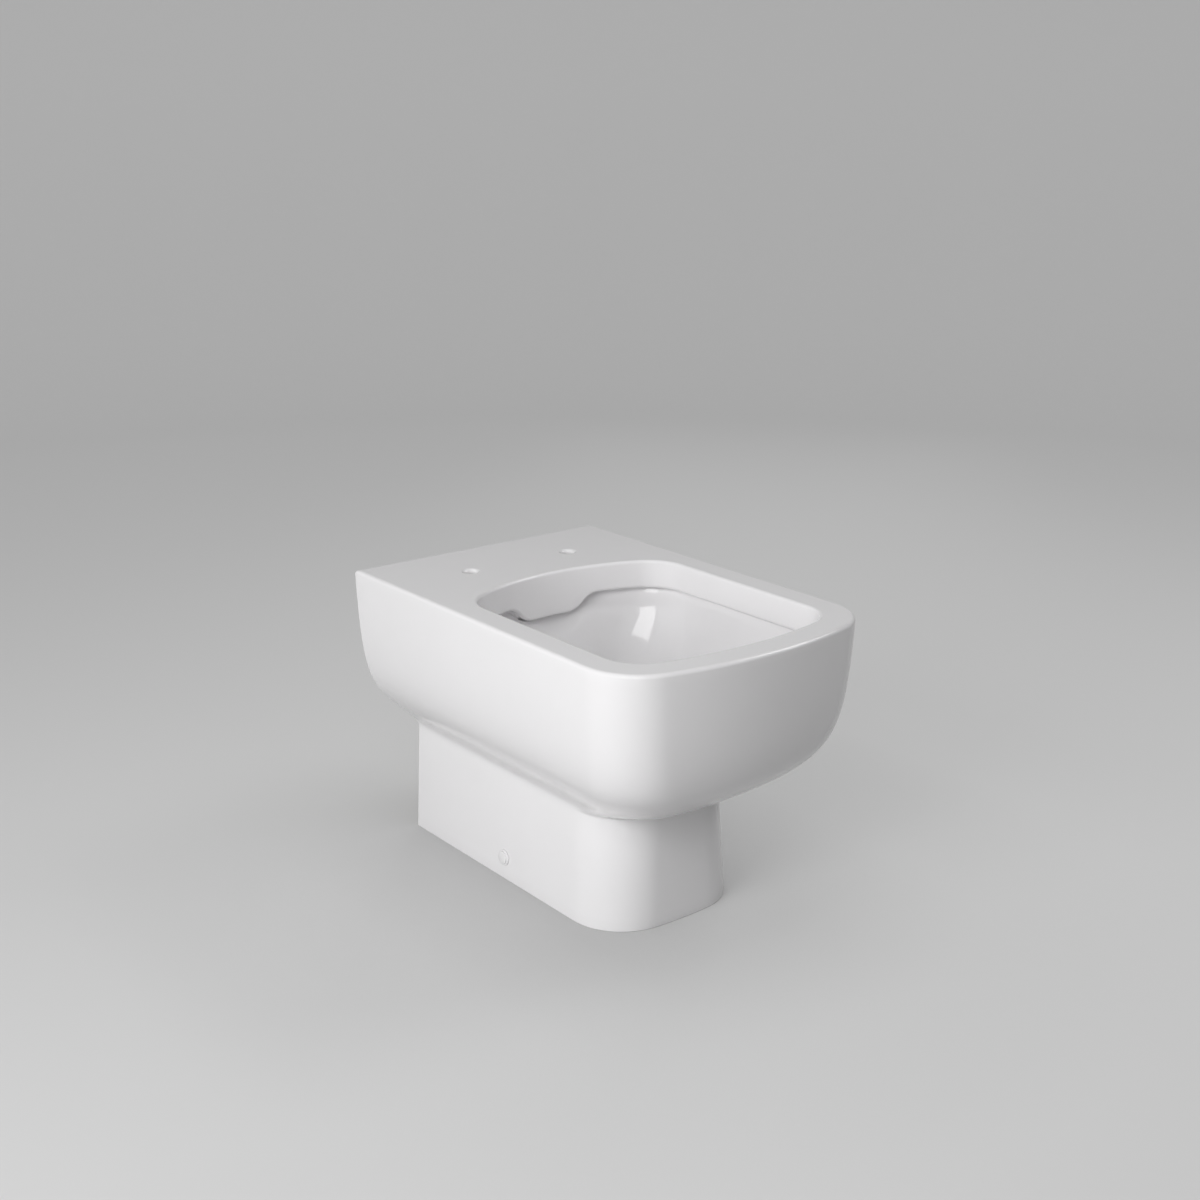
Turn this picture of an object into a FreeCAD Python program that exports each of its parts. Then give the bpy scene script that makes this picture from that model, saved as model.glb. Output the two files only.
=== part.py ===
import FreeCAD, Part
import math
import os
import Sketcher

# Back-to-wall toilet pan, floor standing, with its hidden floor fixings.
# Millimetres. +Z is up, the wall is at +Y, the front of the bowl is at -Y.
# The origin lies on the floor, under the middle of the pan's width and depth.
SIZES = {
    # Pan, outside
    "pan_width": 384,
    "pan_depth": 570,
    "pan_height": 380,
    "corner_radius": 75,
    "front_bow": 560,
    "knee_height": 205,
    "side_slope": 1.59,
    "side_blend": 40.4,
    "front_slope": 1.98,
    "front_blend": 46.7,
    "crease_blend": 25,
    "rim_round": 5,
    # Foot
    "foot_width": 221,
    "foot_depth": 429,
    "foot_draft": 2.8,
    "foot_top_drop": 87,
    # Walls of the casting
    "skin_wall": 11,
    "skin_lift": 6,
    "deck_thickness": 16,
    "bowl_wall": 10,
    "trim_allowance": 20,
    # Bowl
    "rim_width": 38.5,
    "deck_depth": 163,
    "opening_front_corner": 50,
    "opening_rear_corner": 57,
    "opening_rear_bow": 300,
    "opening_round": 4,
    "band_height": 38,
    "band_undercut": 7,
    "throat_clearance": 2,
    "bowl_roundness": 45,
    # Flush chamber behind the bowl, and the apron that hides its outlet
    "chamber_depth": 16,
    "chamber_width": 132,
    "chamber_floor_drop": 77,
    "chamber_roof_drop": 30,
    "outlet_slot": 2.5,
    "apron_wall": 12,
    "apron_drop": 60,
    "apron_flat": 52,
    "apron_spread": 144,
    "apron_rise": 23.5,
    # Trapway
    "trap_bore": 72,
    "trap_wall": 9,
    "trap_bend": 55,
    "trap_low": 58,
    "throat_run": 20,
    "trap_rise": 50,
    "outlet_height": 180,
    "outlet_setback": 45,
    "outlet_diameter": 102,
    "outlet_length": 45,
    # Flush inlet
    "inlet_drop": 58,
    "inlet_setback": 30,
    "inlet_bore": 55,
    "inlet_bore_depth": 32,
    "inlet_passage": 36,
    "inlet_wall": 9,
    "flush_pipe": 45,
    "seal_length": 26,
    "seal_collar": 66,
    "seal_collar_thickness": 4,
    "seal_groove": 1.5,
    "seal_gap": 0.1,
    # Seat holes
    "seat_hole": 17,
    "seat_hole_spacing": 155,
    "seat_hole_setback": 95.5,
    "seat_hole_lip": 3.5,
    # Side fixings
    "fixing_setback": 205.5,
    "fixing_height": 29.5,
    "fixing_hole": 16,
    "sleeve_gap": 0.2,
    "sleeve_wall": 1.4,
    "sleeve_floor": 2,
    "sleeve_flange": 18.5,
    "sleeve_flange_thickness": 1.2,
    "sleeve_recess": 0.5,
    "screw_diameter": 6,
    "screw_gap": 0.25,
    "screw_head": 10.5,
    "screw_head_height": 3.2,
    "screw_socket": 4,
    "screw_socket_depth": 2,
    "screw_tail": 3,
    "screw_point": 0.8,
    "washer_diameter": 12,
    "washer_thickness": 1,
    "nut_width": 10,
    "nut_thickness": 5,
    "nut_gap": 0.05,
    "cap_diameter": 21,
    "cap_edge": 1.9,
    "cap_button": 16.5,
    "cap_button_side": 0.8,
    "cap_crown": 2.2,
    "cap_plug_length": 4,
    "cap_plug_wall": 1.2,
    "cap_gap": 0.15,
    # Floor brackets
    "bracket_width": 36,
    "bracket_height": 46,
    "bracket_leg": 6,
    "bracket_foot": 44,
    "bracket_foot_thickness": 6,
    "bracket_gusset": 4,
    "bracket_hole": 6.5,
    "bracket_hole_inset": 27,
    "bracket_gap": 0.2,
}

# Heights of the sections between the top of the foot and the rim, closer where the profile bends.
SKIN_LEVELS = (0, 0.05, 0.1, 0.15, 0.2, 0.25, 0.31, 0.38, 0.46, 0.55, 0.65, 0.76, 0.86, 0.94, 1)
# Heights of the bowl's sections between the throat and the rim band.
BOWL_LEVELS = (0, 0.08, 0.17, 0.27, 0.38, 0.5, 0.63, 0.76, 0.88, 1)

doc = FreeCAD.newDocument("toilet_pan")
sheet = doc.addObject("Spreadsheet::Sheet", "sizes")
for row, (alias, size) in enumerate(SIZES.items(), start=1):
    sheet.set(f"A{row}", alias)
    sheet.set(f"B{row}", str(size))
    sheet.setAlias(f"B{row}", alias)
doc.recompute()


def number(expression):
    """Value of an expression on the sheet."""
    return float(sheet.evalExpression(expression))


# Places that several pieces share, as expressions on the sheet.
WALL = "(sizes.pan_depth / 2)"
FOOT_TOP = "(sizes.knee_height - sizes.foot_top_drop)"
SHELF = "(sizes.pan_height - sizes.band_height)"
DECK_UNDERSIDE = "(sizes.pan_height - sizes.deck_thickness)"
DECK_MIDDLE = "(sizes.pan_height - sizes.deck_thickness / 2)"
OPENING_HALF = "(sizes.pan_width / 2 - sizes.rim_width)"
OPENING_FRONT = "(sizes.pan_depth - sizes.rim_width)"
TRAP_OUTER = "(sizes.trap_bore / 2 + sizes.trap_wall)"
THROAT_HEIGHT = "(sizes.trap_low + sizes.trap_bend + sizes.throat_run)"
THROAT_HALF = "(sizes.trap_bore / 2 + sizes.throat_clearance)"
RISE_HEIGHT = ("(sizes.outlet_height - sizes.trap_low"
               " - 2 * sizes.trap_bend * (1 - cos(sizes.trap_rise)))")
TRAP_LENGTH = f"(2 * sizes.trap_bend * sin(sizes.trap_rise) + {RISE_HEIGHT} / tan(sizes.trap_rise))"
OUTLET_INNER_END = "(sizes.outlet_setback + sizes.outlet_length)"
THROAT_SETBACK = f"({OUTLET_INNER_END} + {TRAP_LENGTH} + sizes.trap_bend)"
BOWL_REAR = "(sizes.deck_depth - sizes.band_undercut)"
DAM_SETBACK = f"({BOWL_REAR} - sizes.bowl_wall)"
CHAMBER_SETBACK = f"({DAM_SETBACK} - sizes.chamber_depth)"
CHAMBER_FLOOR = "(sizes.pan_height - sizes.chamber_floor_drop)"
INLET_END = f"(sizes.inlet_setback - {WALL})"
INLET_HEIGHT = "(sizes.pan_height - sizes.inlet_drop)"


def knee(height, slope, blend):
    """Rounded step from a sloping underside to an upright side: 0 far above the knee."""
    half_run = f"({slope} * ({height} - sizes.knee_height) / 2)"
    return f"({half_run} - sqrt({half_run}^2 + {blend}^2))"


def soft_max(first, second, blend):
    """Greater of two lengths, with the corner between them rounded over the blend."""
    overlap = f"max({blend} - abs({first} - {second}); 0)"
    return f"(max({first}; {second}) + {overlap}^2 / (4 * {blend}))"


def profile(height, foot_size, top_size, slope, blend):
    """Reach of the casting's outside at a height: the drafted foot, or the bowl where that is wider."""
    foot = f"({foot_size} - {height} * tan(sizes.foot_draft))"
    bowl = f"({top_size} + {knee(height, slope, blend)} - {knee('sizes.pan_height', slope, blend)})"
    return soft_max(foot, bowl, "sizes.crease_blend")


def half_width(height):
    """Half of the casting's width at a height."""
    return profile(height, "sizes.foot_width / 2", "sizes.pan_width / 2",
                   "sizes.side_slope", "sizes.side_blend")


def front_reach(height):
    """Distance from the wall to the middle of the casting's front at a height."""
    return profile(height, "sizes.foot_depth", "sizes.pan_depth",
                   "sizes.front_slope", "sizes.front_blend")


def rear_sag(width):
    """How far the opening's bowed rear edge comes forward at the two ends of a width."""
    return f"(sizes.opening_rear_bow - sqrt(sizes.opening_rear_bow^2 - ({width} / 2)^2))"


def between(level, low, high):
    """Height at a level between two heights."""
    return f"({low} + {level} * ({high} - {low}))"


def new_body(label):
    """Empty body for one piece."""
    body = doc.addObject("PartDesign::Body", label)
    body.Label = label
    return body


def new_sketch(body, name, plane, offset=None):
    """Sketch on one of the body's own origin planes, moved along the plane's normal."""
    planes = {feature.Role: feature for feature in body.Origin.OriginFeatures}
    sketch = body.newObject("Sketcher::SketchObject", name)
    sketch.AttachmentSupport = [(planes[plane], "")]
    sketch.MapMode = "FlatFace"
    if offset:
        sketch.setExpression("AttachmentOffset.Base.z", offset)
    return sketch


def dimension(sketch, expression, kind, *references):
    """Dimension whose value follows the sheet."""
    index = sketch.addConstraint(Sketcher.Constraint(kind, *references, number(expression)))
    sketch.setExpression(f"Constraints[{index}]", expression)


def arc(centre, radius, start, end):
    """Arc that runs anticlockwise between two angles in radians."""
    circle = Part.Circle(FreeCAD.Vector(centre[0], centre[1], 0), FreeCAD.Vector(0, 0, 1), radius)
    return Part.ArcOfCircle(circle, start, end)


def line(start, end):
    """Straight sketch edge."""
    return Part.LineSegment(FreeCAD.Vector(start[0], start[1], 0), FreeCAD.Vector(end[0], end[1], 0))


def bowed_end(half, reach, corner, bow):
    """Corner centre (across, along) and tangent angle of a bowed end that faces along its own axis."""
    across = half - corner
    along = reach - bow + math.sqrt((bow - corner) ** 2 - across ** 2)
    return across, along, math.acos(across / (bow - corner))


def skin_section(body, name, height, half, front, corner, bow):
    """Level section of the casting's outside: straight sides, round front corners and a bowed front."""
    sketch = new_sketch(body, name, "XY_Plane", height)
    back = f"({WALL} + sizes.trim_allowance)"
    side = number(half)
    wall = number(WALL)
    radius = number(corner)
    across, along, angle = bowed_end(side, number(front), radius, number(bow))
    corner_y = wall - along
    bow_y = wall - number(front) + number(bow)
    back_y = number(back)
    sketch.addGeometry([
        line((-side, back_y), (side, back_y)),
        line((side, back_y), (side, corner_y)),
        arc((across, corner_y), radius, -angle, 0),
        arc((0, bow_y), number(bow), angle - math.pi, -angle),
        arc((-across, corner_y), radius, math.pi, math.pi + angle),
        line((-side, corner_y), (-side, back_y)),
    ])
    sketch.addConstraint([
        Sketcher.Constraint("Coincident", 0, 2, 1, 1),
        Sketcher.Constraint("Tangent", 1, 2, 2, 2),
        Sketcher.Constraint("Tangent", 2, 1, 3, 2),
        Sketcher.Constraint("Tangent", 3, 1, 4, 2),
        Sketcher.Constraint("Tangent", 4, 1, 5, 1),
        Sketcher.Constraint("Coincident", 5, 2, 0, 1),
        Sketcher.Constraint("Vertical", 1),
        Sketcher.Constraint("Vertical", 5),
        Sketcher.Constraint("Symmetric", 0, 1, 0, 2, -2),
        Sketcher.Constraint("PointOnObject", 3, 3, -2),
        Sketcher.Constraint("Equal", 2, 4),
    ])
    dimension(sketch, f"2 * {half}", "DistanceX", 0, 1, 0, 2)
    dimension(sketch, back, "DistanceY", -1, 1, 0, 1)
    dimension(sketch, corner, "Radius", 2)
    dimension(sketch, bow, "Radius", 3)
    dimension(sketch, f"{WALL} - {front} + {bow}", "DistanceY", -1, 1, 3, 3)
    return sketch


def bowl_section(body, name, height, half, front, rear, front_corner, rear_corner, grow="0"):
    """Level section of the bowl: straight sides, round corners, bowed front and rear, grown by a wall."""
    sketch = new_sketch(body, name, "XY_Plane", height)
    half = f"({half} + {grow})"
    front = f"({front} + {grow})"
    rear = f"({rear} - {grow})"
    front_corner = f"({front_corner} + {grow})"
    rear_corner = f"({rear_corner} + {grow})"
    front_bow = f"(sizes.front_bow - sizes.rim_width + {grow})"
    rear_bow = f"(sizes.opening_rear_bow + {grow})"
    wall = number(WALL)
    side = number(half)
    front_across, front_along, front_angle = bowed_end(
        side, number(front), number(front_corner), number(front_bow))
    rear_across, rear_along, rear_angle = bowed_end(
        side, -number(rear), number(rear_corner), number(rear_bow))
    front_y = wall - front_along
    rear_y = wall + rear_along
    front_bow_y = wall - number(front) + number(front_bow)
    rear_bow_y = wall - number(rear) - number(rear_bow)
    sketch.addGeometry([
        line((side, rear_y), (side, front_y)),
        arc((front_across, front_y), number(front_corner), -front_angle, 0),
        arc((0, front_bow_y), number(front_bow), front_angle - math.pi, -front_angle),
        arc((-front_across, front_y), number(front_corner), math.pi, math.pi + front_angle),
        line((-side, front_y), (-side, rear_y)),
        arc((-rear_across, rear_y), number(rear_corner), math.pi - rear_angle, math.pi),
        arc((0, rear_bow_y), number(rear_bow), rear_angle, math.pi - rear_angle),
        arc((rear_across, rear_y), number(rear_corner), 0, rear_angle),
    ])
    sketch.addConstraint([
        Sketcher.Constraint("Tangent", 0, 2, 1, 2),
        Sketcher.Constraint("Tangent", 1, 1, 2, 2),
        Sketcher.Constraint("Tangent", 2, 1, 3, 2),
        Sketcher.Constraint("Tangent", 3, 1, 4, 1),
        Sketcher.Constraint("Tangent", 4, 2, 5, 2),
        Sketcher.Constraint("Tangent", 5, 1, 6, 2),
        Sketcher.Constraint("Tangent", 6, 1, 7, 2),
        Sketcher.Constraint("Tangent", 7, 1, 0, 1),
        Sketcher.Constraint("Vertical", 0),
        Sketcher.Constraint("Vertical", 4),
        Sketcher.Constraint("PointOnObject", 2, 3, -2),
        Sketcher.Constraint("PointOnObject", 6, 3, -2),
        Sketcher.Constraint("Equal", 1, 3),
        Sketcher.Constraint("Equal", 5, 7),
    ])
    dimension(sketch, half, "DistanceX", -1, 1, 0, 1)
    dimension(sketch, front_corner, "Radius", 1)
    dimension(sketch, front_bow, "Radius", 2)
    dimension(sketch, rear_corner, "Radius", 7)
    dimension(sketch, rear_bow, "Radius", 6)
    dimension(sketch, f"{WALL} - {front} + {front_bow}", "DistanceY", -1, 1, 2, 3)
    dimension(sketch, f"{WALL} - {rear} - {rear_bow}", "DistanceY", -1, 1, 6, 3)
    return sketch


def circle_sketch(body, name, plane, offset, diameter, across="0", up="0"):
    """Sketch of one circle."""
    sketch = new_sketch(body, name, plane, offset)
    centre = FreeCAD.Vector(number(across), number(up), 0)
    sketch.addGeometry(Part.Circle(centre, FreeCAD.Vector(0, 0, 1), number(diameter) / 2))
    dimension(sketch, diameter, "Diameter", 0)
    dimension(sketch, across, "DistanceX", -1, 1, 0, 3)
    dimension(sketch, up, "DistanceY", -1, 1, 0, 3)
    return sketch


def polygon(sketch, corners):
    """Closed outline through corners given as pairs of expressions."""
    points = [(number(across), number(up)) for across, up in corners]
    count = len(points)
    sketch.addGeometry([line(points[index], points[(index + 1) % count]) for index in range(count)])
    for index, (across, up) in enumerate(corners):
        before = (index - 1) % count
        sketch.addConstraint(Sketcher.Constraint("Coincident", before, 2, index, 1))
        dimension(sketch, across, "DistanceX", -1, 1, index, 1)
        dimension(sketch, up, "DistanceY", -1, 1, index, 1)


def loft(body, kind, name, sections, ruled=False):
    """Additive or subtractive loft through level sections."""
    feature = body.newObject(f"PartDesign::{kind}Loft", name)
    feature.Profile = sections[0]
    feature.Sections = sections[1:]
    feature.Ruled = ruled
    return feature


def extrude(body, kind, name, sketch, length, backwards=False, middle=False):
    """Pad along the sketch's normal, or Pocket against it, unless turned backwards or set to both sides."""
    feature = body.newObject(f"PartDesign::{kind}", name)
    feature.Profile = sketch
    feature.setExpression("Length", length)
    feature.Reversed = backwards
    feature.SideType = "Symmetric" if middle else "One side"
    return feature


def add_outside(body):
    """Outside of the casting: the drafted foot and the bowl's skin, both running on past the wall plane."""
    def section(name, height):
        return skin_section(body, name, height, half_width(height), front_reach(height),
                            "sizes.corner_radius", "sizes.front_bow")

    foot = [section("foot_floor", "0"), section("foot_top", FOOT_TOP)]
    loft(body, "Additive", "foot", foot, ruled=True)
    heights = [between(level, FOOT_TOP, "sizes.pan_height") for level in SKIN_LEVELS]
    bowl = [section(f"skin_{index}", height) for index, height in enumerate(heights)]
    loft(body, "Additive", "skin", bowl)


def add_hollow(body):
    """Hollow inside the skin, open at the floor and at the wall."""
    def section(name, outside_height):
        inset = "sizes.skin_wall"
        return skin_section(body, name, f"({outside_height} + sizes.skin_lift)",
                            f"({half_width(outside_height)} - {inset})",
                            f"({front_reach(outside_height)} - {inset})",
                            f"(sizes.corner_radius - {inset})", f"(sizes.front_bow - {inset})")

    below_floor = "(-sizes.trim_allowance)"
    foot = [section("foot_hollow_floor", below_floor), section("foot_hollow_top", FOOT_TOP)]
    loft(body, "Subtractive", "foot_hollow", foot, ruled=True)
    top = f"({DECK_UNDERSIDE} - sizes.skin_lift)"
    heights = [between(level, FOOT_TOP, top) for level in SKIN_LEVELS]
    bowl = [section(f"hollow_{index}", height) for index, height in enumerate(heights)]
    loft(body, "Subtractive", "skin_hollow", bowl)


def bowl_sections(body, name, grow="0", top=None):
    """Sections of the bowl from the throat up to the shelf under the rim band, and on to a top if given."""
    shelf_half = f"({OPENING_HALF} + sizes.band_undercut)"
    shelf_front = f"({OPENING_FRONT} + sizes.band_undercut)"
    throat_corner = "(sizes.trap_bore / 2)"

    def section(label, height, level):
        spread = f"sin(90 * {level})"
        half = between(spread, THROAT_HALF, shelf_half)
        widest_corner = f"({half} - sizes.throat_clearance)"

        def corner(shelf_corner):
            plain = between(spread, throat_corner, shelf_corner)
            return f"min({plain} + sizes.bowl_roundness * sin(180 * {level}); {widest_corner})"

        return bowl_section(
            body, f"{name}_{label}", height, half,
            between(spread, f"({THROAT_SETBACK} + {THROAT_HALF})", shelf_front),
            between(spread, f"({THROAT_SETBACK} - {THROAT_HALF})", BOWL_REAR),
            corner("(sizes.opening_front_corner + sizes.band_undercut)"),
            corner("sizes.opening_rear_corner"), grow)

    sections = []
    for index, level in enumerate(BOWL_LEVELS):
        height = f"({between(level, THROAT_HEIGHT, SHELF)} - {grow} * (1 - {level}))"
        sections.append(section(index, height, level))
    if top:
        sections.append(section("top", top, 1))
    return sections


def opening_section(body, name, height):
    """Outline of the bowl's opening in the rim."""
    return bowl_section(body, name, height, OPENING_HALF, OPENING_FRONT, "sizes.deck_depth",
                        "sizes.opening_front_corner", "sizes.opening_rear_corner")


def trap_path(body, name):
    """Middle line of the trapway, from the outlet's end down to the throat of the bowl."""
    sketch = new_sketch(body, name, "YZ_Plane")
    wall = number(WALL)
    bend = number("sizes.trap_bend")
    rise = math.radians(number("sizes.trap_rise"))
    outlet_z = number("sizes.outlet_height")
    low_z = number("sizes.trap_low")
    end_y = wall - number("sizes.outlet_setback")
    upper_y = wall - number(OUTLET_INNER_END)
    lower_y = upper_y - number(TRAP_LENGTH)
    upper_foot = (upper_y - bend * math.sin(rise), outlet_z - bend * (1 - math.cos(rise)))
    lower_head = (lower_y + bend * math.sin(rise), low_z + bend * (1 - math.cos(rise)))
    throat = (lower_y - bend, low_z + bend)
    throat_top = (throat[0], number(THROAT_HEIGHT) + number("sizes.trap_wall"))
    sketch.addGeometry([
        line((end_y, outlet_z), (upper_y, outlet_z)),
        arc((upper_y, outlet_z - bend), bend, math.pi / 2, math.pi / 2 + rise),
        line(upper_foot, lower_head),
        arc((lower_y, low_z + bend), bend, math.pi, 1.5 * math.pi + rise),
        line(throat, throat_top),
    ])
    sketch.addConstraint([
        Sketcher.Constraint("Tangent", 0, 2, 1, 1),
        Sketcher.Constraint("Tangent", 1, 2, 2, 1),
        Sketcher.Constraint("Tangent", 2, 2, 3, 2),
        Sketcher.Constraint("Tangent", 3, 1, 4, 1),
        Sketcher.Constraint("Horizontal", 0),
        Sketcher.Constraint("Vertical", 4),
        Sketcher.Constraint("Equal", 1, 3),
    ])
    dimension(sketch, "sizes.trap_bend", "Radius", 1)
    dimension(sketch, "sizes.outlet_height", "DistanceY", -1, 1, 0, 1)
    dimension(sketch, f"{WALL} - sizes.outlet_setback", "DistanceX", -1, 1, 0, 1)
    dimension(sketch, "sizes.outlet_length", "DistanceX", 0, 2, 0, 1)
    dimension(sketch, f"{WALL} - {THROAT_SETBACK}", "DistanceX", -1, 1, 4, 1)
    dimension(sketch, "sizes.trap_low + sizes.trap_bend", "DistanceY", -1, 1, 4, 1)
    dimension(sketch, "sizes.throat_run + sizes.trap_wall", "DistanceY", 4, 1, 4, 2)
    return sketch


def trap_pipe(body, kind, name, diameter):
    """Tube along the trapway's middle line."""
    path = trap_path(body, f"{name}_path")
    outlet_end = f"(sizes.outlet_setback - {WALL})"
    ring = circle_sketch(body, f"{name}_ring", "XZ_Plane", outlet_end, diameter, up="sizes.outlet_height")
    feature = body.newObject(f"PartDesign::{kind}Pipe", name)
    feature.Profile = ring
    feature.Spine = path
    return feature


def add_bowl(body):
    """Bowl, trapway and outlet spigot as solid forms inside the hollow."""
    loft(body, "Additive", "bowl_shell", bowl_sections(body, "bowl_shell", "sizes.bowl_wall", DECK_MIDDLE))
    trap_pipe(body, "Additive", "trap_tube", f"(2 * {TRAP_OUTER})")
    outlet_end = f"(sizes.outlet_setback - {WALL})"
    outlet = circle_sketch(body, "outlet_ring", "XZ_Plane", outlet_end, "sizes.outlet_diameter",
                           up="sizes.outlet_height")
    extrude(body, "Pad", "outlet_spigot", outlet, "sizes.outlet_length")


def add_chamber_housing(body):
    """Block behind the bowl for the flush chamber, and the inlet horn on it."""
    outline = new_sketch(body, "chamber_housing_outline", "YZ_Plane")
    back = f"({WALL} - {CHAMBER_SETBACK} + sizes.bowl_wall)"
    front = f"({WALL} - {BOWL_REAR})"
    floor = f"({CHAMBER_FLOOR} - sizes.bowl_wall)"
    polygon(outline, [(front, floor), (back, floor), (back, DECK_MIDDLE), (front, DECK_MIDDLE)])
    housing_width = "(sizes.chamber_width + 2 * sizes.bowl_wall)"
    extrude(body, "Pad", "chamber_housing", outline, housing_width, middle=True)
    horn = circle_sketch(body, "inlet_ring", "XZ_Plane", INLET_END,
                         "(sizes.inlet_bore + 2 * sizes.inlet_wall)", up=INLET_HEIGHT)
    extrude(body, "Pad", "inlet_horn", horn, f"({CHAMBER_SETBACK} - sizes.inlet_setback)")


def add_waterways(body):
    """Hollow of the bowl, bore of the trapway, flush chamber and inlet."""
    loft(body, "Subtractive", "bowl_cavity", bowl_sections(body, "bowl_cavity"))
    trap_pipe(body, "Subtractive", "trap_bore", "sizes.trap_bore")
    chamber = new_sketch(body, "chamber_outline", "YZ_Plane")
    back = f"({WALL} - {CHAMBER_SETBACK})"
    dam = f"({WALL} - {DAM_SETBACK})"
    outlet = f"({dam} - 2 * sizes.bowl_wall - {rear_sag('sizes.chamber_width')})"
    dam_top = "(sizes.pan_height - sizes.apron_drop - sizes.outlet_slot)"
    roof = "(sizes.pan_height - sizes.chamber_roof_drop)"
    polygon(chamber, [(back, CHAMBER_FLOOR), (back, roof), (outlet, roof), (outlet, dam_top),
                      (dam, dam_top), (dam, CHAMBER_FLOOR)])
    extrude(body, "Pocket", "chamber", chamber, "sizes.chamber_width", middle=True)
    seat = circle_sketch(body, "inlet_bore_ring", "XZ_Plane", INLET_END, "sizes.inlet_bore",
                         up=INLET_HEIGHT)
    extrude(body, "Pocket", "inlet_bore", seat, "sizes.inlet_bore_depth", backwards=True)
    passage = circle_sketch(body, "inlet_passage_ring", "XZ_Plane", INLET_END, "sizes.inlet_passage",
                            up=INLET_HEIGHT)
    passage_length = f"({CHAMBER_SETBACK} + sizes.chamber_depth / 2 - sizes.inlet_setback)"
    extrude(body, "Pocket", "inlet_passage", passage, passage_length, backwards=True)


def apron_sketch(body):
    """Apron seen from the front: a flat lower edge that swings up to the shelf on both sides."""
    setback = f"(sizes.deck_depth - sizes.apron_wall - {WALL})"
    sketch = new_sketch(body, "apron_outline", "XZ_Plane", setback)
    low = number("sizes.pan_height - sizes.apron_drop")
    high = low + number("sizes.apron_rise")
    top = number(DECK_MIDDLE)
    flat = number("sizes.apron_flat / 2")
    spread = number("sizes.apron_spread / 2")
    run = (spread - flat) / 2
    lift = (high - low) / 2
    radius = (run ** 2 + lift ** 2) / (2 * lift)
    swing = math.asin(run / radius)
    quarter = math.pi / 2
    sketch.addGeometry([
        line((-flat, low), (flat, low)),
        arc((flat, low + radius), radius, -quarter, swing - quarter),
        arc((spread, high - radius), radius, quarter, quarter + swing),
        line((spread, high), (spread, top)),
        line((spread, top), (-spread, top)),
        line((-spread, top), (-spread, high)),
        arc((-spread, high - radius), radius, quarter - swing, quarter),
        arc((-flat, low + radius), radius, -quarter - swing, -quarter),
    ])
    sketch.addConstraint([
        Sketcher.Constraint("Tangent", 0, 2, 1, 1),
        Sketcher.Constraint("Tangent", 1, 2, 2, 2),
        Sketcher.Constraint("Coincident", 2, 1, 3, 1),
        Sketcher.Constraint("Coincident", 3, 2, 4, 1),
        Sketcher.Constraint("Coincident", 4, 2, 5, 1),
        Sketcher.Constraint("Coincident", 5, 2, 6, 2),
        Sketcher.Constraint("Tangent", 6, 1, 7, 1),
        Sketcher.Constraint("Tangent", 7, 2, 0, 1),
        Sketcher.Constraint("Vertical", 3),
        Sketcher.Constraint("Horizontal", 4),
        Sketcher.Constraint("Vertical", 5),
        Sketcher.Constraint("Symmetric", 0, 1, 0, 2, -2),
        Sketcher.Constraint("Symmetric", 3, 1, 5, 2, -2),
        Sketcher.Constraint("Vertical", 2, 3, 2, 1),
        Sketcher.Constraint("Vertical", 6, 3, 6, 2),
        Sketcher.Constraint("Equal", 1, 2),
        Sketcher.Constraint("Equal", 6, 7),
    ])
    dimension(sketch, "sizes.apron_flat", "DistanceX", 0, 1, 0, 2)
    dimension(sketch, "sizes.pan_height - sizes.apron_drop", "DistanceY", -1, 1, 0, 1)
    dimension(sketch, "sizes.apron_spread", "DistanceX", 5, 2, 3, 1)
    dimension(sketch, "sizes.apron_rise", "DistanceY", 0, 2, 3, 1)
    dimension(sketch, DECK_MIDDLE, "DistanceY", -1, 1, 4, 1)
    return sketch


def add_opening(body):
    """Apron, then the opening through the rim, which also trims the apron's front."""
    apron_reach = f"(2 * sizes.apron_wall + {rear_sag('sizes.apron_spread')})"
    extrude(body, "Pad", "apron", apron_sketch(body), apron_reach)
    opening = opening_section(body, "opening_outline", "sizes.pan_height")
    extrude(body, "Pocket", "opening", opening, "sizes.apron_drop")


def add_wall_plane(body):
    """Flat back, where the pan stands against the wall."""
    sketch = new_sketch(body, "wall_plane", "XZ_Plane", f"(-{WALL})")
    high = "(2 * sizes.pan_height)"
    low = "(-sizes.pan_height)"
    left = "(-sizes.pan_width)"
    polygon(sketch, [(left, low), ("sizes.pan_width", low), ("sizes.pan_width", high), (left, high)])
    extrude(body, "Pocket", "wall_cut", sketch, "2 * sizes.trim_allowance")


def add_seat_holes(body):
    """Two holes through the rear deck for a seat's hinges."""
    sketch = new_sketch(body, "seat_hole_rings", "XY_Plane", "sizes.pan_height")
    hole_y = f"({WALL} - sizes.seat_hole_setback)"
    for index, side in enumerate((-1, 1)):
        hole_x = f"({side} * sizes.seat_hole_spacing / 2)"
        centre = FreeCAD.Vector(number(hole_x), number(hole_y), 0)
        sketch.addGeometry(Part.Circle(centre, FreeCAD.Vector(0, 0, 1), number("sizes.seat_hole / 2")))
        dimension(sketch, "sizes.seat_hole", "Diameter", index)
        dimension(sketch, hole_x, "DistanceX", -1, 1, index, 3)
        dimension(sketch, hole_y, "DistanceY", -1, 1, index, 3)
    extrude(body, "Pocket", "seat_holes", sketch, "2 * sizes.deck_thickness")


SIDES = {"left": -1, "right": 1}
FIXING_Y = f"({WALL} - sizes.fixing_setback)"
FIXING_TILT = "(90 - sizes.foot_draft)"
FIXING_X = "(sizes.foot_width / 2 - sizes.fixing_height * tan(sizes.foot_draft))"
# China between the foot's outer and inner face, along the fixing's axis.
FIXING_WALL = ("((sizes.skin_wall - sizes.skin_lift * tan(sizes.foot_draft))"
               " * cos(sizes.foot_draft))")


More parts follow.
